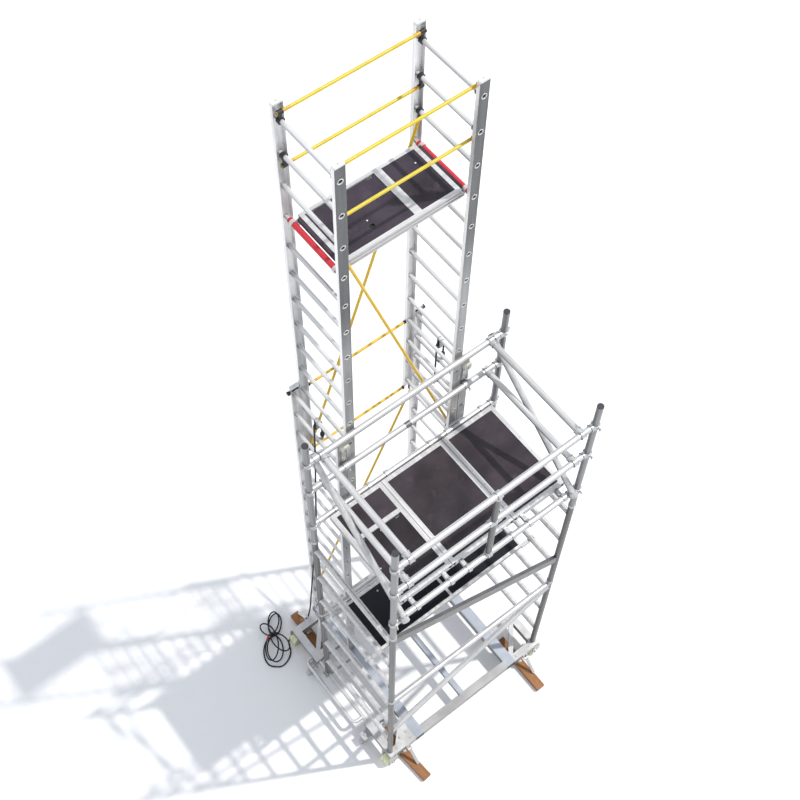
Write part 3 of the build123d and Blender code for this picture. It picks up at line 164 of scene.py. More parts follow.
# Small fittings
UP = (0, 0, 1)
BEDDING = 0.0005
WASHER_HEIGHT = 0.0012
BOLT_WIDTH = 0.013
GUSSET_BOLT_WIDTH = 0.015
CASTER_BOLT_WIDTH = 0.011
CLAMP_BOLT_WIDTH = 0.012
RIVET_RADIUS = 0.0055
HATCH_BOLT_RADIUS = 0.0065
LANDING_BOLT_RADIUS = 0.008
PIN_RADIUS = 0.007
BAY_DEPTH = 0.330
BAY_BOLT_X = (0.640, 0.800)
BAY_BOLT_Y = (FRONT_BEAM_Y, FRONT_BEAM_Y + BAY_DEPTH, REAR_BEAM_Y, REAR_BEAM_Y - BAY_DEPTH)
BRACKET_PLATE = 0.006
BRACKET_BOLT_X = (0.850, 0.900)
BRACKET_BOLT_Z = 0.205
GUSSET_SIDE = 0.190
GUSSET_FRONT_Y = -0.726
GUSSET_BOLT_SHARES = ((0.2, 0.2), (0.62, 0.16), (0.16, 0.62))
CASTER_X = -0.941
CASTER_Y = (-0.464, 0.367)
CASTER_PLATE_TOP = 0.158
CASTER_BOLT_OUT = 0.029
CLAMP_X = 0.545
CLAMP_Z = 4.350
CLAMP_FRONT_Y = 0.2085
CLAMP_PLATE = Vector((0.040, 0.0045, 0.044))
CLAMP_BOLT_OUT = 0.011
STRAP_THICKNESS = 0.006
STRAP_BOLT_Z = (4.150, 4.270)
RIVET_INSET = 0.060
RIVETS_A_SIDE = 6
LANDING_BOLT = (-0.460, -0.028)
# Each set of bolt heads: its name, its body, the top of its frame, and its places in plan
HATCH_BOLTS = (
    ("working_hatch_bolts", "working_hatch", DECK_TOP, ((-0.505, -0.130), (-0.690, -0.365))),
    ("platform_hatch_bolt", "platform_hatch", PLATFORM_TOP, ((-0.144, 0.474),)),
    ("platform_panel_bolt", "upper_tower", PLATFORM_TOP, ((0.344, 0.641),)),
)
CUP_PLACE = (-0.1408, 0.426)
CUP_PROFILE = [(0.0135, -0.0060), (0.0175, 0.0019), (0.0175, 0.0030), (0.0128, 0.0030), (0.0125, -0.0060)]
PLUG_WALL = 0.0042
PLUG_PROUD = 0.002
PLUG_DEPTH = 0.015
COLLAR_RADIUS = 0.030
STAY_PLACES = ((-0.735, FRONT_BEAM_Y), (0.684, FRONT_BEAM_Y), (-0.748, REAR_BEAM_Y), (0.748, REAR_BEAM_Y))
STAY_HALF = 0.0045
FOOT_HALF = 0.025
FOOT_REACH = 0.036
FOOT_HEIGHT = 0.004
FOOT_SCREW_X = 0.015
FOOT_SCREW_Y = 0.024
CAP_SCREW_INSET = 0.014
RUNG_BORE = 0.0128
# Near-black discs set back in the rungs' bores: painted shade for the dark inside of the open tubes
RUNG_SHADE_DISC_DEPTHS = (0.0040, 0.0100)
FLARE_RADIUS = 0.0180
FLARE_HEIGHT = 0.0030
RIM_HEIGHT = 0.0030
WELD_HEIGHT = 0.004

# The photographed camera: where it stands, which way it looks, and how much it takes in
CAMERA_PLACE = Vector((-2.949, -3.271, 12.285))
CAMERA_AZIMUTH = -37.677
CAMERA_ELEVATION = 59.312
CAMERA_REACH = 200.0
PHOTO_PIXELS = 800.0
FOCAL_PIXELS = 1308.8
PHOTO_CENTRE = (379.0, 388.7)
SENSOR_WIDTH = 36.0

# Light and floor
SUN_FALL = Vector((-0.451, 0.242, -1.0))
SUN_STRENGTH = 2.7
SUN_SPREAD = 1.4
SUN_TINT = (1.0, 0.98, 0.95)
SKY_TOP = (0.84, 0.89, 0.97, 1.0)
SKY_EDGE = (0.46, 0.49, 0.53, 1.0)
SKY_RISE = 0.75
FLOOR_SPAN = 600.0
FLOOR_TONES = ((0.86, 0.855, 0.85, 1.0), (0.88, 0.875, 0.87, 1.0))

# Colours
ALUMINIUM = (0.68, 0.67, 0.665)
# Pale colour of the lighter aluminium edges: partly rubbed wear, partly a painted highlight
BRIGHT = (0.91, 0.91, 0.91)
# Darker grey for posts, the middle post, the plank and the end frames' posts: painted shade, the same
# aluminium darkened for upright faces
POST_GREY = (0.173, 0.173, 0.175)
# Darker grey of the stiles' outer webs: painted shade, set against their lighter channels
WEB_GREY = (0.105, 0.107, 0.110)
HINGE_DARK = (0.05, 0.045, 0.05)
CHANNEL_BLUE = (0.40, 0.43, 0.48)
ZINC = (0.61, 0.61, 0.61)
# Darkening colour: painted shade on upright faces and undersides, and in corners, where it also stands for
# grime
SHADE_AND_GRIME = (0.13, 0.125, 0.12, 1.0)
PLYWOOD_EDGE = (0.16, 0.105, 0.065, 1.0)
TIMBER_RINGS = ((0.33, 0.140, 0.052, 1.0), (0.19, 0.076, 0.028, 1.0))
TIMBER_FIBRE = (0.50, 0.26, 0.10, 1.0)
TIMBER_DIRT = (0.12, 0.062, 0.033, 1.0)
TIMBER_END = (0.20, 0.10, 0.05, 1.0)
TIMBER_EDGE = (0.52, 0.31, 0.15, 1.0)
CHIP_GREY = (0.30, 0.30, 0.31, 1.0)
NYLON_TONES = ((0.62, 0.64, 0.36, 1.0), (0.76, 0.77, 0.52, 1.0))
NYLON_GRIME = (0.30, 0.30, 0.22, 1.0)
ROPE_DUST = (0.09, 0.09, 0.095, 1.0)
TREAD_TONES = ((0.50, 0.50, 0.52, 1.0), (0.30, 0.30, 0.30, 1.0))

# Where a finish changes: soft edges of masks, and heights between which the painted shade or the tone
# differs
MASK_EDGE = 0.001
HINGE_EDGE = 0.0005
WEB_SKIN = 0.0004
WEB_EDGE = 0.0006
WEB_SHADE_LOW = 0.64
WEB_SHADE_RISE = (5.2, 6.0)
PLANK_EDGE = 0.01
LOW_DECK_RISE = (2.9, 3.0)


def at(x, y, z):
    """A point given from the tower's centre lines, in the frame."""
    return TOWER + Vector((x, y, z))


# Shader building

class Wire:
    """An output of a shader node; arithmetic on it adds Math nodes to the same finish."""

    def __init__(self, finish, socket):
        self.finish = finish
        self.socket = socket

    def math(self, operation, *values):
        return self.finish.node("Math", {"operation": operation}, dict(enumerate(values)))

    def __add__(self, other):
        return self.math("ADD", self, other)

    __radd__ = __add__

    def __sub__(self, other):
        return self.math("SUBTRACT", self, other)

    def __rsub__(self, other):
        return self.math("SUBTRACT", other, self)

    def __mul__(self, other):
        return self.math("MULTIPLY", self, other)

    __rmul__ = __mul__

    def size(self):
        return self.math("ABSOLUTE", self)

    def step(self, low, high):
        """0 below low, 1 above high, smooth between."""
        limits = {"Value": self, "From Min": low, "From Max": high}
        return self.finish.node("MapRange", {"interpolation_type": "SMOOTHSTEP"}, limits)


class Graph:
    """A shader tree under construction."""

    def __init__(self, tree):
        self.tree = tree
        tree.nodes.clear()

    def node(self, kind, settings=None, sockets=None, output=0):
        """Adds a node, sets it up, and gives back one of its outputs."""
        made = self.tree.nodes.new("ShaderNode" + kind)
        for key, value in (settings or {}).items():
            setattr(made, key, value)
        for key, value in (sockets or {}).items():
            if isinstance(value, Wire):
                self.tree.links.new(value.socket, made.inputs[key])
            else:
                made.inputs[key].default_value = value
        return Wire(self, made.outputs[output]) if len(made.outputs) else None

    def mix(self, share, first, second):
        """A colour between two, by a share from 0 to 1."""
        sockets = {0: share, 6: first, 7: second}
        return self.node("Mix", {"data_type": "RGBA", "clamp_factor": True}, sockets, output=2)


class Finish(Graph):
    """A material and the nodes that make it."""

    def __init__(self, name):
        self.material = bpy.data.materials.new(name)
        self.material.use_nodes = True
        super().__init__(self.material.node_tree)
        self.place = self.node("TexCoord", output="Object")

    def noise(self, scale, detail, roughness=0.55):
        """Noise from 0 to 1, with one scale or with one for each axis."""
        scales = (scale, scale, scale) if isinstance(scale, float) else scale
        stretched = self.node("Mapping", None, {"Vector": self.place, "Scale": scales})
        sockets = {"Vector": stretched, "Scale": 1.0, "Detail": detail, "Roughness": roughness}
        return self.node("TexNoise", None, sockets)

    def axis(self, name):
        """One coordinate of the surface point."""
        return self.node("SeparateXYZ", None, {"Vector": self.place}, output=name)

    def normal_part(self, name):
        """One coordinate of the way that the surface faces."""
        normal = self.node("NewGeometry", output="Normal")
        return self.node("SeparateXYZ", None, {"Vector": normal}, output=name)

    def bump(self, height, distance, strength):
        """A normal that follows small heights."""
        return self.node("Bump", None, {"Height": height, "Distance": distance, "Strength": strength})

    def edge(self, radius):
        """1 along sharp edges and 0 on flats."""
        rounded = self.node("Bevel", {"samples": 4}, {"Radius": radius})
        flat = self.node("NewGeometry", output="Normal")
        facing = self.node("VectorMath", {"operation": "DOT_PRODUCT"}, {0: rounded, 1: flat}, output="Value")
        return (1 - facing).step(0.02, 0.2)

    def occlusion_shade(self, reach):
        """0 on open faces, towards 1 in corners and under ledges where little light reaches: for painted
        shade, also grime.
        """
        open_share = self.node("AmbientOcclusion", {"samples": 6}, {"Distance": reach}, output="AO")
        return (1 - open_share).step(0.15, 0.75)

    def facing_up(self):
        """1 on faces that look up, 0 on upright faces and undersides."""
        return self.normal_part("Z").step(0.0, 0.80)

    def surface(self, color, roughness, metallic=0.0, normal=None, fixed=None):
        """Closes the material with one shader."""
        sockets = {"Base Color": color, "Roughness": roughness, "Metallic": metallic}
        if normal is not None:
            sockets["Normal"] = normal
        sockets.update(fixed or {})
        shader = self.node("BsdfPrincipled", None, sockets)
        self.node("OutputMaterial", None, {"Surface": shader})
        return self.material


def shade(color, factor):
    """A colour made lighter or darker, with full alpha."""
    return tuple(min(1.0, part * factor) for part in color[:3]) + (1.0,)


def lifted(color, amount):
    """A colour with the same amount added to each part, with full alpha."""
    return tuple(min(1.0, part + amount) for part in color[:3]) + (1.0,)


def run_scales(scale, along, run):
    """A scale for each axis, with another one along the run."""
    return [along if axis == run else scale for axis in "xyz"]


# Masks: which part of a node has another tone

def beyond(finish, axis, middle, half, soft=MASK_EDGE):
    """0 within a half width of a middle that is measured from the tower, and 1 past it."""
    place = finish.axis(axis) - (TOWER["XYZ".index(axis)] + middle)
    return place.size().step(half - soft, half)


def on_posts(finish):
    """The posts of an end frame, not the rungs between them."""
    middle = (FRONT_POST_Y + REAR_POST_Y) / 2
    half_gap = (REAR_POST_Y - FRONT_POST_Y) / 2 - POST_RADIUS
    return beyond(finish, "Y", middle, half_gap + MASK_EDGE, 2 * MASK_EDGE)


def on_webs(finish):
    """The outer face of a stile's web, darker than its channel as painted shade, most of all near the top.
    """
    half = (LADDER_REAR_Y - LADDER_FRONT_Y) / 2
    outside = beyond(finish, "Y", LADDER_MID_Y, half - WEB_SKIN, WEB_EDGE)
    return outside * (WEB_SHADE_LOW + (1 - WEB_SHADE_LOW) * finish.axis("Z").step(*WEB_SHADE_RISE))


def on_plank(finish):
    """The plank brace, above the tubes of the same node."""
    return finish.axis("Z").step(PLANK_FOOT_Z, PLANK_FOOT_Z + PLANK_EDGE)


def on_mid_post(finish):
    """The upright in the middle of the front rails, between its couplers."""
    clear = RAIL_RADIUS + MASK_EDGE
    share = 1 - beyond(finish, "X", MID_POST_X, clear)
    for rail in (DECK_RAIL_Z, TOP_RAIL_Z):
        share = share * beyond(finish, "Z", rail, clear)
    return share


def on_end_beams(finish):
    """The two beams across the trolley's ends, between its channels."""
    between = 1 - beyond(finish, "X", 0.0, CHANNEL_INNER)
    middle = (BASE_FRONT_Y + BASE_REAR_Y) / 2
    reach = (BASE_REAR_Y - BASE_FRONT_Y) / 2 - BEAM_WIDTH
    return between * beyond(finish, "Y", middle, reach)


def on_hinges(x, y, half_length):
    """The dark hinge leaves of a hatch: a mask for a hinge line at a place."""
    def mask(finish):
        along = beyond(finish, "Y", y, HINGE_REACH, HINGE_EDGE)
        side = beyond(finish, "X", x, half_length, HINGE_EDGE)
        return (1 - along) * (1 - side)
    return mask


on_platform_hinges = on_hinges(PLATFORM_HINGE_X, PLATFORM_HINGE_Y, PLATFORM_HINGE_HALF)
on_working_hinges = on_hinges(WORKING_HINGE_X, WORKING_HINGE_Y, WORKING_HINGE_HALF)


# Finishes

def drawn_aluminium(name, tone, run=None, metallic=0.5, other=None, mask=None, corner_shade=0.45,
                    side_unshaded_share=1.0, spread=(0.72, 1.18)):
    """Extruded aluminium: lines along the run, oxide blotches, scuffs, lighter edges and darker corners.

    The lighter edges are partly rubbed wear and partly a painted highlight; the darker corners are painted
    shade where little light reaches, and grime. Where a mask is given, it says which part of the node has
    the other tone. The side unshaded share sets how much painted shade darkens the upright faces and
    undersides.
    """
    finish = Finish(name)
    lines = finish.noise(run_scales(900.0, 6.0, run), detail=2.0)
    streak_scale = 8.0 if run is None else 34.0
    streak = finish.noise(run_scales(streak_scale, 1.6, run), detail=4.0).step(0.30, 0.70)
    blotch = finish.noise(5.0, detail=5.0)
    scuff = finish.noise(60.0, detail=6.0, roughness=0.7).step(0.60, 0.72)
    edge = finish.edge(0.0012)
    grain = lines * 0.25 + streak * 0.45 + blotch * 0.30

    def grained(base):
        return finish.mix(grain, shade(base, spread[0]), shade(base, spread[1]))

    color = grained(tone)
    if mask is not None:
        color = finish.mix(mask(finish), color, grained(other))
    color = finish.mix(scuff * 0.35, color, shade(tone, 0.62))
    # Painted shade: upright faces and undersides darkened, by less where the side unshaded share is high
    if side_unshaded_share < 1.0:
        color = finish.mix((1 - finish.facing_up()) * (1 - side_unshaded_share), color, SHADE_AND_GRIME)
    # Lighter edges: partly rubbed wear, partly a painted highlight
    color = finish.mix(edge * 0.7, color, shade(BRIGHT, 1.0))
    # Painted shade in corners and under ledges, from occlusion; also meant as grime
    color = finish.mix(finish.occlusion_shade(0.03) * corner_shade, color, SHADE_AND_GRIME)
    roughness = 0.24 + lines * 0.08 + streak * 0.10 + blotch * 0.10 + scuff * 0.12
    return finish.surface(color, roughness, metallic, finish.bump(lines, 0.0003, 0.25))


def zinc_plate(name, tone):
    """Zinc plated steel: pale, with a faint spangle and lighter edges (partly rubbed wear, partly a painted
    highlight); painted shade on upright faces, undersides and corners.
    """
    finish = Finish(name)
    spangle = finish.node("TexVoronoi", None, {"Vector": finish.place, "Scale": 160.0}, output="Distance")
    blotch = finish.noise(22.0, detail=5.0)
    edge = finish.edge(0.0010)
    color = finish.mix(spangle * 0.5 + blotch * 0.5, shade(tone, 0.82), shade(tone, 1.08))
    # Lighter edges: partly rubbed wear, partly a painted highlight
    color = finish.mix(edge * 0.5, color, shade(tone, 1.2))
    # Painted shade: upright faces and undersides darkened
    color = finish.mix((1 - finish.facing_up()) * 0.35, color, SHADE_AND_GRIME)
    # Painted shade in corners and under ledges, from occlusion; also meant as grime
    color = finish.mix(finish.occlusion_shade(0.025) * 0.65, color, SHADE_AND_GRIME)
    roughness = 0.24 + blotch * 0.16 + spangle * 0.08
    return finish.surface(color, roughness, 0.6, finish.bump(spangle, 0.0002, 0.2))


def film_plywood(name, tone, low_tone=None):
    """Dark film-faced plywood: a low sheen, a grip print, lighter dust clouds (dust, and also a painted
    sheen) and long scuffs; the lowest deck darker and bluer as painted shade under the decks above.
    """
    finish = Finish(name)
    dust = finish.noise(3.2, detail=6.0)
    stain = finish.noise(9.0, detail=7.0, roughness=0.65).step(0.56, 0.74)
    scuff = finish.noise((14.0, 120.0, 40.0), detail=5.0, roughness=0.7).step(0.66, 0.74)
    cells = {"Vector": finish.place, "Scale": 260.0}
    grip = finish.node("TexVoronoi", {"feature": "DISTANCE_TO_EDGE"}, cells, output="Distance")
    edge = finish.edge(0.0015)
    # Lighter dust clouds: dust, and also a painted sheen
    color = finish.mix(dust.step(0.3, 0.7), shade(tone, 0.65), shade(tone, 1.5))
    color = finish.mix(stain * 0.5, color, shade(tone, 2.2))
    color = finish.mix(scuff * 0.5, color, shade(tone, 3.4))
    # The lowest deck darker and bluer: painted shade under the working decks
    if low_tone is not None:
        low = 1 - finish.axis("Z").step(*LOW_DECK_RISE)
        color = finish.mix(low, color, finish.mix(dust, shade(low_tone, 0.8), shade(low_tone, 1.3)))
    color = finish.mix(edge * 0.5, color, PLYWOOD_EDGE)
    # Painted shade in corners and under ledges, from occlusion
    color = finish.mix(finish.occlusion_shade(0.05) * 0.5, color, shade(tone, 0.35))
    roughness = 0.22 + stain * 0.22 + dust * 0.16
    normal = finish.bump(grip, 0.0004, 0.25)
    return finish.surface(color, roughness, 0.0, normal, {"Specular IOR Level": 0.28})


def sawn_timber(name):
    """Softwood blocks: wavy grain along their length, dirt, dark end grain and worn edges."""
    finish = Finish(name)
    wander = finish.noise((4.0, 1.2, 4.0), detail=3.0)
    straight = finish.node("Mapping", None, {"Vector": finish.place, "Scale": (38.0, 1.6, 26.0)})
    shift = finish.node("CombineXYZ", None, {"X": wander * 3.0, "Y": wander, "Z": wander * 2.0})
    warped = finish.node("VectorMath", {"operation": "ADD"}, {0: straight, 1: shift})
    rings = finish.node("TexNoise", None, {"Vector": warped, "Scale": 1.0, "Detail": 4.0, "Distortion": 0.6})
    fibre = finish.noise((520.0, 10.0, 520.0), detail=3.0)
    end_grain = finish.normal_part("Y").size().step(0.6, 0.9)
    dirt = finish.noise(16.0, detail=6.0).step(0.52, 0.75)
    edge = finish.edge(0.0025)
    color = finish.mix(rings.step(0.35, 0.65), *TIMBER_RINGS)
    color = finish.mix(fibre * 0.35, color, TIMBER_FIBRE)
    color = finish.mix(dirt * 0.35, color, TIMBER_DIRT)
    color = finish.mix(end_grain * 0.55, color, TIMBER_END)
    color = finish.mix(edge * 0.4, color, TIMBER_EDGE)
    return finish.surface(color, 0.62 + fibre * 0.15, 0.0, finish.bump(fibre + rings, 0.0008, 0.5))


def powder_coat(name, tone, end_tone=None, half_length=0.0):
    """Powder coat on a tube: orange peel, small chips and grime, with a deeper tone on the ends of rails."""
    finish = Finish(name)
    peel = finish.noise(420.0, detail=1.0)
    grime = finish.noise(11.0, detail=6.0).step(0.5, 0.78)
    chip = finish.noise(130.0, detail=4.0, roughness=0.7).step(0.71, 0.73)
    color = finish.mix(grime * 0.4, shade(tone, 1.0), shade(tone, 0.72))
    if end_tone is not None:
        color = finish.mix(beyond(finish, "X", 0.0, half_length), color, shade(end_tone, 1.0))
    color = finish.mix(chip, color, CHIP_GREY)
    # Painted shade in corners and under ledges, from occlusion
    color = finish.mix(finish.occlusion_shade(0.03) * 0.5, color, shade(tone, 0.25))
    roughness = 0.34 + grime * 0.2 + chip * 0.1
    return finish.surface(color, roughness, chip * 0.6, finish.bump(peel, 0.0003, 0.2))


def moulded_plastic(name, tone, shine=0.5):
    """Moulded plastic: a fine spark-eroded grain, pale rubbed edges and a little dust."""
    finish = Finish(name)
    spark = finish.noise(1400.0, detail=1.0)
    dust = finish.noise(26.0, detail=5.0).step(0.5, 0.8)
    edge = finish.edge(0.0012)
    color = finish.mix(dust * 0.3, shade(tone, 0.95), lifted(tone, 0.06))
    color = finish.mix(edge * 0.35, color, lifted(tone, 0.12))
    roughness = 0.48 + dust * 0.15 + spark * 0.06
    normal = finish.bump(spark, 0.0002, 0.5)
    return finish.surface(color, roughness, 0.0, normal, {"Specular IOR Level": shine})


def cast_nylon(name):
    """Rail wheels of pale yellow-green cast nylon, with turning marks and grime."""
    finish = Finish(name)
    turning = finish.noise((8.0, 900.0, 8.0), detail=2.0)
    cloud = finish.noise(14.0, detail=4.0)
    grime = finish.noise(40.0, detail=6.0).step(0.55, 0.75)
    color = finish.mix(cloud * 0.7 + turning * 0.3, *NYLON_TONES)
    color = finish.mix(grime * 0.4, color, NYLON_GRIME)
    return finish.surface(color, 0.45 + grime * 0.2, 0.0, finish.bump(turning, 0.0004, 0.3))


def rope_fibre(name, tone):
    """Black laid rope: fibres along the strands, with a little sheen and dust."""
    finish = Finish(name)
    fibre = finish.noise(700.0, detail=3.0)
    dust = finish.noise(45.0, detail=5.0).step(0.5, 0.8)
    color = finish.mix(fibre, shade(tone, 0.7), shade(tone, 1.6))
    color = finish.mix(dust * 0.3, color, ROPE_DUST)
    return finish.surface(color, 0.55 + fibre * 0.25, 0.0, finish.bump(fibre, 0.0006, 0.6))


def tread_rubber(name):
    """Grey caster tread with scuffs and floor dust."""
    finish = Finish(name)
    dust = finish.noise(60.0, detail=6.0).step(0.45, 0.75)
    grain = finish.noise(600.0, detail=2.0)
    color = finish.mix(dust * 0.6, *TREAD_TONES)
    return finish.surface(color, 0.7 + grain * 0.1, 0.0, finish.bump(grain, 0.0004, 0.4))


finishes = {
    # POST_GREY on the middle post, the posts, the plank and the end frames' posts: painted shade
    "along_x": drawn_aluminium("aluminium_along_x", ALUMINIUM, "x", other=POST_GREY, mask=on_mid_post,
                               side_unshaded_share=0.32),
    "along_y": drawn_aluminium("aluminium_along_y", ALUMINIUM, "y", side_unshaded_share=0.32),
    "rung": drawn_aluminium("aluminium_rungs", shade(ALUMINIUM, 1.15), "y", corner_shade=0.2, side_unshaded_share=0.34),
    "deck_frame": drawn_aluminium("aluminium_deck_frames", ALUMINIUM, "y", other=HINGE_DARK,
                                  mask=on_working_hinges, side_unshaded_share=0.55),
    "platform_frame": drawn_aluminium("aluminium_platform", ALUMINIUM, "x", other=HINGE_DARK,
                                      mask=on_platform_hinges, side_unshaded_share=0.72),
    "bead": drawn_aluminium("aluminium_beads", ALUMINIUM, corner_shade=0.2),
    "post": drawn_aluminium("aluminium_posts", shade(POST_GREY, 1.5), "z"),
    # Stiles: channels lifted above the plain aluminium as painted light in their recesses; outer webs darker
    # as painted shade
    "stile": drawn_aluminium("aluminium_stiles", shade(ALUMINIUM, 1.25), "z", other=WEB_GREY, mask=on_webs,
                             corner_shade=0.15, spread=(0.60, 1.55)),
    "brace": drawn_aluminium("aluminium_braces", ALUMINIUM, other=POST_GREY, mask=on_plank, side_unshaded_share=0.36),
    "base": drawn_aluminium("aluminium_base", CHANNEL_BLUE, metallic=0.4, other=shade(ALUMINIUM, 0.60),
                            mask=on_end_beams, corner_shade=0.7, side_unshaded_share=0.42, spread=(0.86, 1.10)),
    "corner": drawn_aluminium("aluminium_corners", shade(ALUMINIUM, 0.85), metallic=0.4, corner_shade=0.7,
                              side_unshaded_share=0.42),
    "end_frame": drawn_aluminium("aluminium_end_frame", ALUMINIUM, "z", other=shade(POST_GREY, 0.7),
                                 mask=on_posts, side_unshaded_share=0.46),
    "zinc": zinc_plate("zinc_plate", ZINC),
    # The second tone darkens the lowest deck: painted shade
    "deck": film_plywood("film_plywood_decks", (0.036, 0.028, 0.033), (0.008, 0.008, 0.013)),
    "hatch": film_plywood("film_plywood_hatch", (0.020, 0.016, 0.019)),
    "platform": film_plywood("film_plywood_platform", (0.038, 0.029, 0.040)),
    "timber": sawn_timber("sawn_timber"),
    "rail_yellow": powder_coat("yellow_rail_coat", (0.61, 0.46, 0.016), (0.58, 0.33, 0.010),
                               YELLOW_RAIL_HALF),
    # Ladder braces in a more orange yellow: painted shade, a shaded copy of the rails' yellow
    "brace_yellow": powder_coat("yellow_brace_coat", (0.68, 0.43, 0.010)),
    "red": moulded_plastic("red_sleeve_plastic", (0.58, 0.025, 0.04)),
    "cap": moulded_plastic("cap_plastic", (0.74, 0.74, 0.75)),
    "clamp": moulded_plastic("clamp_plastic", (0.66, 0.64, 0.54)),
    "black": moulded_plastic("black_plastic", (0.016, 0.016, 0.018)),
    "plug": moulded_plastic("grey_plug_plastic", (0.035, 0.035, 0.038)),
    # Near-black discs in the rung ends: painted shade inside the open tubes
    "rung_bore_shade": moulded_plastic("rung_bore_shade_disc", (0.010, 0.010, 0.011), shine=0.1),
    "nylon": cast_nylon("cast_nylon"),
    "rope": rope_fibre("rope_fibre", (0.009, 0.009, 0.011)),
    "tape": moulded_plastic("rope_tape", (0.60, 0.03, 0.03)),
    "tread": tread_rubber("tread_rubber"),
}

NODE_FINISHES = {
    "along_x": ["front_guard_rails", "rear_guard_rails"],
    "along_y": ["left_guard_rails", "right_guard_rails", "landing_deck_frame", "push_bar"],
    "rung": ["fixed_ladder_rungs", "upper_ladder_rungs"],
    "deck_frame": ["working_deck_frames"],
    "platform_frame": ["platform_frame"],
    "post": ["guard_posts"],
    "stile": ["fixed_ladder_stiles", "upper_ladder_stiles"],
    "brace": ["tower_braces"],
    "base": ["base_frame"],
    "corner": ["corner_frames"],
    "end_frame": ["left_end_frame", "right_end_frame"],
    "zinc": ["wheel_brackets", "axle_bolts", "hold_down_brackets", "caster_brackets", "caster_fork_front",
             "caster_fork_rear", "tube_couplers", "coupler_bolts", "post_collars", "deck_hooks",
             "pulley_brackets", "hold_down_lever_front_left", "hold_down_lever_front_right",
             "hold_down_lever_rear_left", "hold_down_lever_rear_right"],
    "deck": ["deck_panels"],
    "hatch": ["working_hatch"],
    "platform": ["platform_panel", "platform_hatch"],
    "timber": ["timber_blocks"],
    "rail_yellow": ["platform_guard_rails"],
    "brace_yellow": ["ladder_braces", "fixed_brace"],
    "red": ["red_sleeves"],
    "cap": ["fixed_ladder_caps", "upper_ladder_caps"],
    "clamp": ["tower_clamps"],
    "black": ["brace_claws", "brace_brackets", "lock_knob_left", "lock_knob_right", "pulley_left",
              "pulley_right"],
    "plug": ["post_plugs"],
    "nylon": ["rail_wheel_front_left", "rail_wheel_front_right", "rail_wheel_rear_left",
              "rail_wheel_rear_right"],
    "tread": ["caster_wheel_front", "caster_wheel_rear"],
}


def dress_nodes():
    """Give every CAD node its finish."""
    for key, names in NODE_FINISHES.items():
        for name in names:
            mesh = nodes[name].data
            mesh.materials.clear()
            mesh.materials.append(finishes[key])


# Mesh building

def turn_angles(steps):
    """Even angles round a full turn."""
    return [2 * math.pi * i / steps for i in range(steps)]


def ring_faces(mesh, low, high):
    """The band of faces between two rings."""
    for i in range(len(low)):
        j = (i + 1) % len(low)
        mesh.faces.new((low[i], low[j], high[j], high[i]))


def end_faces(mesh, rings):
    """The flat ends of a stack of rings."""
    mesh.faces.new(list(reversed(rings[0])))
    mesh.faces.new(rings[-1])


def turned(mesh, centre, axis, profile, steps, closed=False):
    """A turned form: a profile of (radius, height) points swung round an axis."""
    axis = Vector(axis).normalized()
    first = axis.orthogonal().normalized()
    second = axis.cross(first)
    rings = []
    for radius, height in profile:
        ring = []
        for angle in turn_angles(steps):
            out = first * math.cos(angle) + second * math.sin(angle)
            ring.append(mesh.verts.new(Vector(centre) + axis * height + out * radius))
        rings.append(ring)
    for low, high in zip(rings, rings[1:]):
        ring_faces(mesh, low, high)
    if closed:
        ring_faces(mesh, rings[-1], rings[0])
    else:
        end_faces(mesh, rings)


def ring_bead(mesh, centre, axis, radius, height, steps=28, sides=8):
    """A bead or rolled lip: a small round section swung round an axis."""
    section = [(radius + height * math.cos(angle), height * math.sin(angle)) for angle in turn_angles(sides)]
    turned(mesh, centre, axis, section, steps, closed=True)


def block(mesh, low, high):
    """A plain box between two corners."""
    xs, ys, zs = zip(low, high)
    corners = [mesh.verts.new((x, y, z)) for x in xs for y in ys for z in zs]
    for face in ((0, 1, 3, 2), (4, 6, 7, 5), (0, 4, 5, 1), (2, 3, 7, 6), (0, 2, 6, 4), (1, 5, 7, 3)):
        mesh.faces.new([corners[i] for i in face])


def piece(name, mesh, body, finish, smooth=True):
    """Close a mesh into an object that rides on a body."""
    bmesh.ops.recalc_face_normals(mesh, faces=mesh.faces)
    data = bpy.data.meshes.new(name)
    mesh.to_mesh(data)
    mesh.free()
    data.polygons.foreach_set("use_smooth", [smooth] * len(data.polygons))
    data.materials.append(finishes[finish])
    made = bpy.data.objects.new(name, data)
    bpy.context.scene.collection.objects.link(made)
    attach(made, body)
    return made


# Ropes

def spline_points(name, route):
    """Points along the smooth line that a route's points control."""
    curve = bpy.data.curves.new(name, "CURVE")
    curve.dimensions = "3D"
    curve.resolution_u = 12
    spline = curve.splines.new("NURBS")
    spline.points.add(len(route) - 1)
    for point, place in zip(spline.points, route):
        point.co = (*place, 1.0)
    spline.order_u = 3
    spline.use_endpoint_u = True
    holder = bpy.data.objects.new(name, curve)
    line = bpy.data.meshes.new_from_object(holder)
    points = [vertex.co.copy() for vertex in line.vertices]
    bpy.data.objects.remove(holder)
    bpy.data.curves.remove(curve)
    bpy.data.meshes.remove(line)
    return points


def even_points(points, step):
    """The same line with evenly spaced points."""
    lengths = [(b - a).length for a, b in zip(points, points[1:])]
    total = sum(lengths)
    count = max(2, round(total / step))
    spaced = [points[0]]
    index, passed = 0, 0.0
    for i in range(1, count):
        goal = total * i / count
        while passed + lengths[index] < goal:
            passed += lengths[index]
            index += 1
        share = (goal - passed) / lengths[index]
        spaced.append(points[index].lerp(points[index + 1], share))
    spaced.append(points[-1])
    return spaced


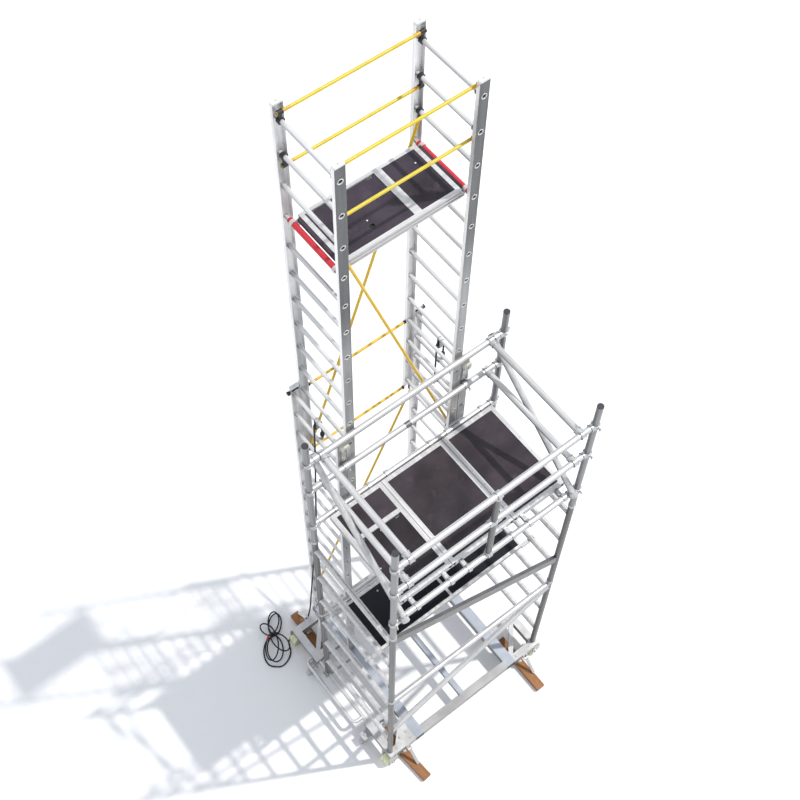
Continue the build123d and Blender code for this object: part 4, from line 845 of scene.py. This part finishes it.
def swept(mesh, points, outline):
    """A tube along points, whose outline gives the ring's offsets at each point's distance along it."""
    heading = (points[1] - points[0]).normalized()
    first = heading.orthogonal().normalized()
    travelled = 0.0
    rings = []
    for i, point in enumerate(points):
        ahead = points[min(i + 1, len(points) - 1)]
        behind = points[max(i - 1, 0)]
        heading = (ahead - behind).normalized()
        first = (first - heading * first.dot(heading)).normalized()
        second = heading.cross(first)
        if i:
            travelled += (point - points[i - 1]).length
        rings.append([mesh.verts.new(point + first * u + second * v) for u, v in outline(travelled)])
    for low, high in zip(rings, rings[1:]):
        ring_faces(mesh, low, high)
    end_faces(mesh, rings)


def laid_outline(travelled):
    """The section of a laid rope, turned by its lay."""
    twist = 2 * math.pi * travelled / ROPE_LAY
    outline = []
    for angle in turn_angles(ROPE_SIDES):
        bulge = math.sqrt(abs(math.cos(ROPE_STRANDS / 2 * (angle - twist))))
        radius = ROPE_RADIUS * (1 - STRAND_DEPTH + STRAND_DEPTH * bulge)
        outline.append((radius * math.cos(angle), radius * math.sin(angle)))
    return outline


def round_outline(radius, sides=16):
    """A plain round section."""
    ring = [(radius * math.cos(angle), radius * math.sin(angle)) for angle in turn_angles(sides)]
    return lambda travelled: ring


def over_pulley(side):
    """The points that carry a rope over a pulley, from the inner strand to the outer one."""
    corner = STRAND_RADIUS / math.cos(math.pi / 8)
    below = PULLEY_Z - STRAND_RADIUS * math.tan(math.pi / 8)
    points = [at(side * (FIXED_X - STRAND_RADIUS), LADDER_MID_Y, below)]
    for i in range(4):
        angle = math.pi / 8 + i * math.pi / 4
        points.append(at(side * FIXED_X - side * corner * math.cos(angle), LADDER_MID_Y,
                         PULLEY_Z + corner * math.sin(angle)))
    points.append(at(side * (FIXED_X + STRAND_RADIUS), LADDER_MID_Y, below))
    return points


def level_way(angle):
    """A level direction, from an angle in degrees."""
    return Vector((math.cos(math.radians(angle)), math.sin(math.radians(angle)), 0.0))


def crossing_angle(angle):
    """How a loop crosses the waist: square to its own length, and near the bundle's way."""
    return COIL_BUNDLE_ANGLE + (angle - COIL_BUNDLE_ANGLE) % 180.0 - 90.0


def joined(values, first, last):
    """Values where one loop passes into the next, between their own, with both ends given."""
    return [first] + [(a + b) / 2 for a, b in zip(values, values[1:])] + [last]


def coil_route():
    """The loops on the floor, one after another round their shared waist, and the tail on top."""
    across_waist = level_way(COIL_BUNDLE_ANGLE)
    spread = level_way(COIL_BUNDLE_ANGLE + 90.0)
    waist = Vector((*COIL_WAIST, ROPE_RADIUS))
    crossings = [crossing_angle(angle) for angle, length, half_width in COIL_LOOPS]
    shifts = [COIL_STEP * (index % 3 - 1) for index in range(len(COIL_LOOPS))]
    join_crossings = joined(crossings, COIL_BUNDLE_ANGLE, COIL_BUNDLE_ANGLE)
    join_shifts = joined(shifts, 0.0, 0.0)
    route = []
    for index, (angle, length, half_width) in enumerate(COIL_LOOPS):
        near_width = max(half_width, COIL_LEAST_HALF)
        tip_width = max(near_width, math.sqrt(COIL_LEAST_BEND * length / 2))
        first = COIL_POINTS_A_LOOP // 2 if index == 0 else 0
        for i in range(first, COIL_POINTS_A_LOOP):
            swing = 2 * math.pi * i / COIL_POINTS_A_LOOP
            out = (1 - math.cos(swing)) / 2
            join = index if i < COIL_POINTS_A_LOOP / 2 else index + 1
            crossing = level_way(crossings[index] * out + join_crossings[join] * (1 - out))
            shift = shifts[index] * out + join_shifts[join] * (1 - out)
            width = (near_width * (1 - out) + tip_width * out) * math.sin(swing)
            plan = waist + spread * shift + level_way(angle) * (length * out) + crossing * width
            rise = COIL_PITCH * (index + i / COIL_POINTS_A_LOOP - 0.5)
            route.append(at(plan.x, plan.y, plan.z + rise))
    top = route[-1].z + COIL_PITCH / 8
    for reach in (0.0, COIL_TAIL / 2, COIL_TAIL):
        tail = waist + across_waist * reach
        route.append(at(tail.x, tail.y, top))
    return route


def laid_rope(name, route):
    """A rope along a route, with the points of its middle line and its length."""
    points = even_points(spline_points(name + "_route", route), ROPE_STEP)
    mesh = bmesh.new()
    swept(mesh, points, laid_outline)
    made = piece(name, mesh, "trolley", "rope")
    length = sum((b - a).length for a, b in zip(points, points[1:]))
    return made, points, length


def rope_band(name, points, goal, length, thickness, finish):
    """A band of tape or twine round a rope, at the rope's nearest point to a goal."""
    middle = min(range(len(points)), key=lambda i: (points[i] - goal).length)
    reach = max(1, round(length / ROPE_STEP / 2))
    first = max(0, middle - reach)
    mesh = bmesh.new()
    swept(mesh, points[first:middle + reach + 1], round_outline(ROPE_RADIUS + thickness))
    return piece(name, mesh, "trolley", finish)


def left_rope():
    """The long rope: from its cleat over its pulley, down to the floor and into the coil."""
    inner = -FIXED_X + STRAND_RADIUS
    outer = -FIXED_X - STRAND_RADIUS
    over_timber = TIMBER_TOP + ROPE_RADIUS + REST_GAP
    floor = ROPE_RADIUS
    coil = coil_route()
    lead = coil[0] - TOWER + level_way(COIL_BUNDLE_ANGLE) * COIL_LEAD
    route = [
        at(inner, LADDER_MID_Y, FIXED_RUNGS[-2] + CLEAT_SOCKET),
        at(inner, LADDER_MID_Y, PULLEY_Z - PULLEY_RUN),
        *over_pulley(-1),
        at(outer, LADDER_MID_Y, PULLEY_Z - 0.120),
        at(-0.592, 0.550, 3.700),
        at(-0.606, 0.588, 2.780),
        at(-0.612, 0.596, 2.400),
        at(-0.640, 0.668, 1.560),
        at(-0.660, 0.722, 0.880),
        at(-0.664, 0.764, 0.440),
        at(-0.672, 0.790, 0.250),
        at(-0.680, 0.802, 0.140),
        at(-0.713, 0.804, over_timber + 0.010),
        at(-0.786, 0.804, over_timber + 0.007),
        at(-0.809, 0.802, over_timber - 0.008),
        at(-0.819, 0.799, floor + 0.014),
        at(-0.845, 0.796, floor),
        at(-0.905, 0.790, floor),
        at(-0.966, 0.752, floor),
        at(-0.985, 0.672, floor),
        at(-1.050, 0.612, floor),
        at(lead.x, lead.y, floor),
        *coil,
    ]
    made, points, length = laid_rope("hoist_rope_left", route)
    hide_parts("hoist_rope_runs", "hoist_rope_coil")
    tape = rope_band("rope_tape", points, TOWER + TAPE_PLACE, TAPE_LENGTH, TAPE_THICKNESS, "tape")
    whipping = rope_band("rope_whipping", points, points[-3], WHIPPING_LENGTH, WHIPPING_THICKNESS, "black")


def right_rope():
    """The short rope: over its pulley, with both ends tied to cleats."""
    inner = FIXED_X - STRAND_RADIUS
    outer = FIXED_X + STRAND_RADIUS
    route = [
        at(inner, LADDER_MID_Y, FIXED_RUNGS[-3] + CLEAT_SOCKET),
        at(inner, LADDER_MID_Y, PULLEY_Z - PULLEY_RUN),
        *over_pulley(1),
        at(outer, LADDER_MID_Y, PULLEY_Z - PULLEY_RUN),
        at(outer, LADDER_MID_Y, FIXED_RUNGS[-2] + CLEAT_SOCKET),
    ]
    made, points, length = laid_rope("hoist_rope_right", route)


# Small fittings

def hex_bolt(mesh, place, axis, width):
    """A washer and a hexagon head, bedded a little in the face they sit on."""
    turned(mesh, place, axis, [(width * 0.95, -BEDDING), (width * 0.95, WASHER_HEIGHT)], steps=20)
    radius = width / math.sqrt(3)
    head = [(radius, 0.0), (radius, width * 0.52), (radius * 0.84, width * 0.62)]
    turned(mesh, place, axis, head, steps=6)


def pan_head(mesh, place, axis, radius):
    """A low round head, bedded a little in its face."""
    dome = [(radius, -BEDDING), (radius, radius * 0.22), (radius * 0.80, radius * 0.48),
            (radius * 0.30, radius * 0.60)]
    turned(mesh, place, axis, dome, steps=16)


def trolley_bolts():
    """Bolts of the corner bays, the wheel brackets, the gusset and the caster plates."""
    mesh = bmesh.new()
    for side in (-1, 1):
        for x in BAY_BOLT_X:
            for y in BAY_BOLT_Y:
                hex_bolt(mesh, at(side * x, y, BASE_TOP), UP, BOLT_WIDTH)
        for x in BRACKET_BOLT_X:
            for end, way in ((BASE_FRONT_Y, -1), (BASE_REAR_Y, 1)):
                place = at(side * x, end + way * BRACKET_PLATE, BRACKET_BOLT_Z)
                hex_bolt(mesh, place, (0, way, 0), BOLT_WIDTH)
    for share_x, share_y in GUSSET_BOLT_SHARES:
        place = at(-CHANNEL_OUTER - GUSSET_SIDE * share_x, GUSSET_FRONT_Y + GUSSET_SIDE * share_y, BASE_TOP)
        hex_bolt(mesh, place, UP, GUSSET_BOLT_WIDTH)
    for y in CASTER_Y:
        for x_way in (-1, 1):
            for y_way in (-1, 1):
                place = at(CASTER_X + CASTER_BOLT_OUT * x_way, y + CASTER_BOLT_OUT * y_way, CASTER_PLATE_TOP)
                hex_bolt(mesh, place, UP, CASTER_BOLT_WIDTH)
    piece("trolley_bolts", mesh, "trolley", "zinc", smooth=False)


def clamp_bolts():
    """Bolts through the moulded clamp blocks and their straps, with a pressure plate on each block."""
    mesh = bmesh.new()
    front = (0, -1, 0)
    plate_front = CLAMP_FRONT_Y - CLAMP_PLATE.y
    for side in (-1, 1):
        x = side * CLAMP_X
        block(mesh, at(x - CLAMP_PLATE.x / 2, plate_front, CLAMP_Z - CLAMP_PLATE.z / 2),
              at(x + CLAMP_PLATE.x / 2, CLAMP_FRONT_Y, CLAMP_Z + CLAMP_PLATE.z / 2))
        for way in (-1, 1):
            hex_bolt(mesh, at(x, plate_front, CLAMP_Z + way * CLAMP_BOLT_OUT), front, CLAMP_BOLT_WIDTH)
        for z in STRAP_BOLT_Z:
            hex_bolt(mesh, at(x, LADDER_FRONT_Y - STRAP_THICKNESS, z), front, BOLT_WIDTH)
    piece("clamp_bolts", mesh, "trolley", "zinc", smooth=False)


def deck_rivets():
    """Rivets along the sides of the working decks, and the pale bolt of the landing."""
    mesh = bmesh.new()
    left = DECK_LEFT_X
    pitch = (DECK_REAR_Y - DECK_FRONT_Y - 2 * RIVET_INSET) / (RIVETS_A_SIDE - 1)
    for width in DECK_WIDTHS:
        for x in (left + DECK_MEMBER / 2, left + width - DECK_MEMBER / 2):
            for i in range(RIVETS_A_SIDE):
                y = DECK_FRONT_Y + RIVET_INSET + i * pitch
                pan_head(mesh, at(x, y, DECK_TOP), UP, RIVET_RADIUS)
        left += width + DECK_GAP
    pan_head(mesh, at(*LANDING_BOLT, LANDING_TOP - PANEL_DROP), UP, LANDING_BOLT_RADIUS)
    piece("deck_rivets", mesh, "trolley", "bead")


def hatch_bolts():
    """The pale bolt heads on the hatches and on the platform's panel."""
    for name, body, top, places in HATCH_BOLTS:
        mesh = bmesh.new()
        for place in places:
            pan_head(mesh, at(*place, top - PANEL_DROP), UP, HATCH_BOLT_RADIUS)
        piece(name, mesh, body, "bead")


def beam_plugs():
    """Plastic plugs in the open ends of the base channels."""
    mesh = bmesh.new()
    low = BASE_TOP - CHANNEL_HEIGHT + PLUG_WALL
    high = BASE_TOP - PLUG_WALL
    for side in (-1, 1):
        inner, outer = sorted((side * CHANNEL_INNER, side * CHANNEL_OUTER))
        for end, inward in ((BASE_FRONT_Y, 1), (CHANNEL_TAIL_Y, -1)):
            start, stop = sorted((end - inward * PLUG_PROUD, end + inward * PLUG_DEPTH))
            block(mesh, at(inner + PLUG_WALL, start, low), at(outer - PLUG_WALL, stop, high))
    piece("beam_plugs", mesh, "trolley", "plug", smooth=False)


def collar_pins():
    """Spring pins with round heads through the collars of the post joints."""
    mesh = bmesh.new()
    for side in (-1, 1):
        for y, way in ((FRONT_POST_Y, -1), (REAR_POST_Y, 1)):
            for joint in (1, 2):
                place = at(side * POST_X, y + way * COLLAR_RADIUS, BASE_TOP + joint * SECTION_HEIGHT)
                pan_head(mesh, place, (0, way, 0), PIN_RADIUS)
    piece("collar_pins", mesh, "trolley", "zinc")


def stay_feet():
    """Foot plates with screws where the stays stand on their timbers."""
    mesh = bmesh.new()
    top = TIMBER_TOP + FOOT_HEIGHT
    for x, y in STAY_PLACES:
        for way in (-1, 1):
            near, far = sorted((y + way * STAY_HALF, y + way * FOOT_REACH))
            block(mesh, at(x - FOOT_HALF, near, TIMBER_TOP - BEDDING), at(x + FOOT_HALF, far, top))
            for shift in (-FOOT_SCREW_X, FOOT_SCREW_X):
                pan_head(mesh, at(x + shift, y + way * FOOT_SCREW_Y, top), UP, RIVET_RADIUS)
    piece("stay_feet", mesh, "trolley", "zinc", smooth=False)


def finger_cup_ring():
    """The black lining of the finger cup in the platform's hatch."""
    mesh = bmesh.new()
    turned(mesh, at(*CUP_PLACE, PLATFORM_TOP - PANEL_DROP), UP, CUP_PROFILE, steps=28, closed=True)
    piece("finger_cup_ring", mesh, "platform_hatch", "black")


def rope_hitches():
    """Round turns and hitches of each rope on the cleats that hold its ends."""
    mesh = bmesh.new()
    cleats = (
        (-1, -FIXED_X + STRAND_RADIUS, FIXED_RUNGS[-2]),
        (1, FIXED_X - STRAND_RADIUS, FIXED_RUNGS[-3]),
        (1, FIXED_X + STRAND_RADIUS, FIXED_RUNGS[-2]),
    )
    for side, x, z in cleats:
        for turn in range(HITCH_TURNS):
            place = at(x, LADDER_MID_Y, z + CLEAT_SOCKET + HITCH_RISE + turn * HITCH_PITCH)
            lean = (0.12 * side, 0.10 * (turn - 1), 1.0)
            ring_bead(mesh, place, lean, HITCH_RADIUS, HITCH_HEIGHT, steps=20, sides=10)
    piece("rope_hitches", mesh, "trolley", "rope")


def cap_screws(name, body, x, rungs):
    """Screws that hold the caps on a ladder's stiles."""
    mesh = bmesh.new()
    top = rungs[-1] + STILE_OVER_RUNG + CAP_HEIGHT
    for side in (-1, 1):
        for y in (LADDER_FRONT_Y + CAP_SCREW_INSET, LADDER_REAR_Y - CAP_SCREW_INSET):
            pan_head(mesh, at(side * x, y, top), UP, RIVET_RADIUS)
    piece(name + "_cap_screws", mesh, body, "zinc")


def rung_ends(name, body, x, rungs):
    """The rolled lips that hold each rung in its stiles, and near-black discs set back in the rungs' ends:
    painted shade for the dark inside of the open tubes.
    """
    flares = bmesh.new()
    plugs = bmesh.new()
    # The plug rings are the near-black discs of painted shade
    plug = [(RUNG_BORE, depth) for depth in RUNG_SHADE_DISC_DEPTHS]
    for side in (-1, 1):
        for z in rungs:
            for y, inward in ((LADDER_FRONT_Y, 1), (LADDER_REAR_Y, -1)):
                end = at(side * x, y, z)
                ring_bead(flares, end, (0, 1, 0), FLARE_RADIUS, FLARE_HEIGHT, steps=24)
                turned(plugs, end, (0, inward, 0), plug, steps=20)
    piece(name + "_rung_flares", flares, body, "bead")
    piece(name + "_rung_bore_shade_discs", plugs, body, "rung_bore_shade")


def coupler_ribs():
    """The raised rims of the couplers' rings and sleeves."""
    mesh = bmesh.new()
    post_ring = POST_RADIUS + COUPLER_WALL
    rail_ring = RAIL_RADIUS + COUPLER_WALL
    for side in (-1, 1):
        for y, inward in ((FRONT_POST_Y, 1), (REAR_POST_Y, -1)):
            for z in (DECK_RAIL_Z, MID_RAIL_Z, TOP_RAIL_Z):
                tip = at(side * (POST_X - COUPLER_REACH), y, z)
                ring_bead(mesh, tip, (1, 0, 0), SLEEVE_RADIUS, RIM_HEIGHT)
                for way in (-1, 1):
                    edge = at(side * POST_X, y, z + way * COUPLER_HALF)
                    ring_bead(mesh, edge, UP, post_ring, RIM_HEIGHT)
            for z in (MID_RAIL_Z, TOP_RAIL_Z):
                tip = at(side * SIDE_RAIL_X, y + inward * COUPLER_REACH, z)
                ring_bead(mesh, tip, (0, 1, 0), SLEEVE_RADIUS, RIM_HEIGHT)
                for way in (-1, 1):
                    edge = at(side * SIDE_RAIL_X + way * COUPLER_HALF, y, z)
                    ring_bead(mesh, edge, (1, 0, 0), rail_ring, RIM_HEIGHT)
    piece("coupler_ribs", mesh, "trolley", "zinc")


def end_frame_welds():
    """Weld beads where the end frames' rungs meet their posts."""
    mesh = bmesh.new()
    for side in (-1, 1):
        for z in END_RUNGS:
            for y in (FRONT_POST_Y + POST_RADIUS, REAR_POST_Y - POST_RADIUS):
                ring_bead(mesh, at(side * POST_X, y, z), (0, 1, 0), RAIL_RADIUS, WELD_HEIGHT)
    piece("end_frame_welds", mesh, "trolley", "bead")


# Stage

def pale_floor():
    """A pale, dull floor with a faint cloud in its tone."""
    mesh = bmesh.new()
    bmesh.ops.create_grid(mesh, x_segments=1, y_segments=1, size=FLOOR_SPAN / 2)
    data = bpy.data.meshes.new("floor")
    mesh.to_mesh(data)
    mesh.free()
    floor = bpy.data.objects.new("floor", data)
    bpy.context.scene.collection.objects.link(floor)
    finish = Finish("pale_floor")
    color = finish.mix(finish.noise(0.8, detail=2.0), *FLOOR_TONES)
    data.materials.append(finish.surface(color, 0.9, 0.0, None, {"Specular IOR Level": 0.1}))


def key_light():
    """One sun, a little soft."""
    sun = bpy.data.lights.new("key", "SUN")
    sun.energy = SUN_STRENGTH
    sun.angle = math.radians(SUN_SPREAD)
    sun.color = SUN_TINT
    lamp = bpy.data.objects.new("key", sun)
    lamp.rotation_mode = "QUATERNION"
    lamp.rotation_quaternion = SUN_FALL.to_track_quat("-Z", "Y")
    bpy.context.scene.collection.objects.link(lamp)


def sky_dome():
    """A bright overhead dome, greyer towards the horizon."""
    world = bpy.data.worlds.new("dome")
    bpy.context.scene.world = world
    world.use_nodes = True
    sky = Graph(world.node_tree)
    direction = sky.node("TexCoord", output="Generated")
    height = sky.node("SeparateXYZ", None, {"Vector": direction}, output="Z")
    color = sky.mix(height.step(0.0, SKY_RISE), SKY_EDGE, SKY_TOP)
    background = sky.node("Background", None, {"Color": color})
    sky.node("OutputWorld", None, {"Surface": background})


def camera():
    """The photograph's camera."""
    data = bpy.data.cameras.new("camera")
    data.sensor_width = SENSOR_WIDTH
    data.lens = FOCAL_PIXELS / PHOTO_PIXELS * SENSOR_WIDTH
    data.shift_x = (PHOTO_PIXELS / 2 - PHOTO_CENTRE[0]) / PHOTO_PIXELS
    data.shift_y = (PHOTO_CENTRE[1] - PHOTO_PIXELS / 2) / PHOTO_PIXELS
    data.clip_end = CAMERA_REACH
    made = bpy.data.objects.new("camera", data)
    azimuth = math.radians(CAMERA_AZIMUTH)
    elevation = math.radians(CAMERA_ELEVATION)
    back = Vector((math.sin(azimuth) * math.cos(elevation), -math.cos(azimuth) * math.cos(elevation),
                   math.sin(elevation)))
    made.location = TOWER + CAMERA_PLACE
    made.rotation_mode = "QUATERNION"
    made.rotation_quaternion = (-back).to_track_quat("-Z", "Y")
    bpy.context.scene.collection.objects.link(made)
    bpy.context.scene.camera = made


dress_nodes()
camera()
pale_floor()
key_light()
sky_dome()
left_rope()
right_rope()
rung_ends("fixed", "trolley", FIXED_X, FIXED_RUNGS)
rung_ends("upper", "upper_tower", UPPER_X, UPPER_RUNGS)
coupler_ribs()
end_frame_welds()
trolley_bolts()
clamp_bolts()
deck_rivets()
hatch_bolts()
beam_plugs()
collar_pins()
stay_feet()
finger_cup_ring()
rope_hitches()
cap_screws("fixed", "trolley", FIXED_X, FIXED_RUNGS)
cap_screws("upper", "upper_tower", UPPER_X, UPPER_RUNGS)
bpy.context.scene.view_settings.view_transform = "Standard"
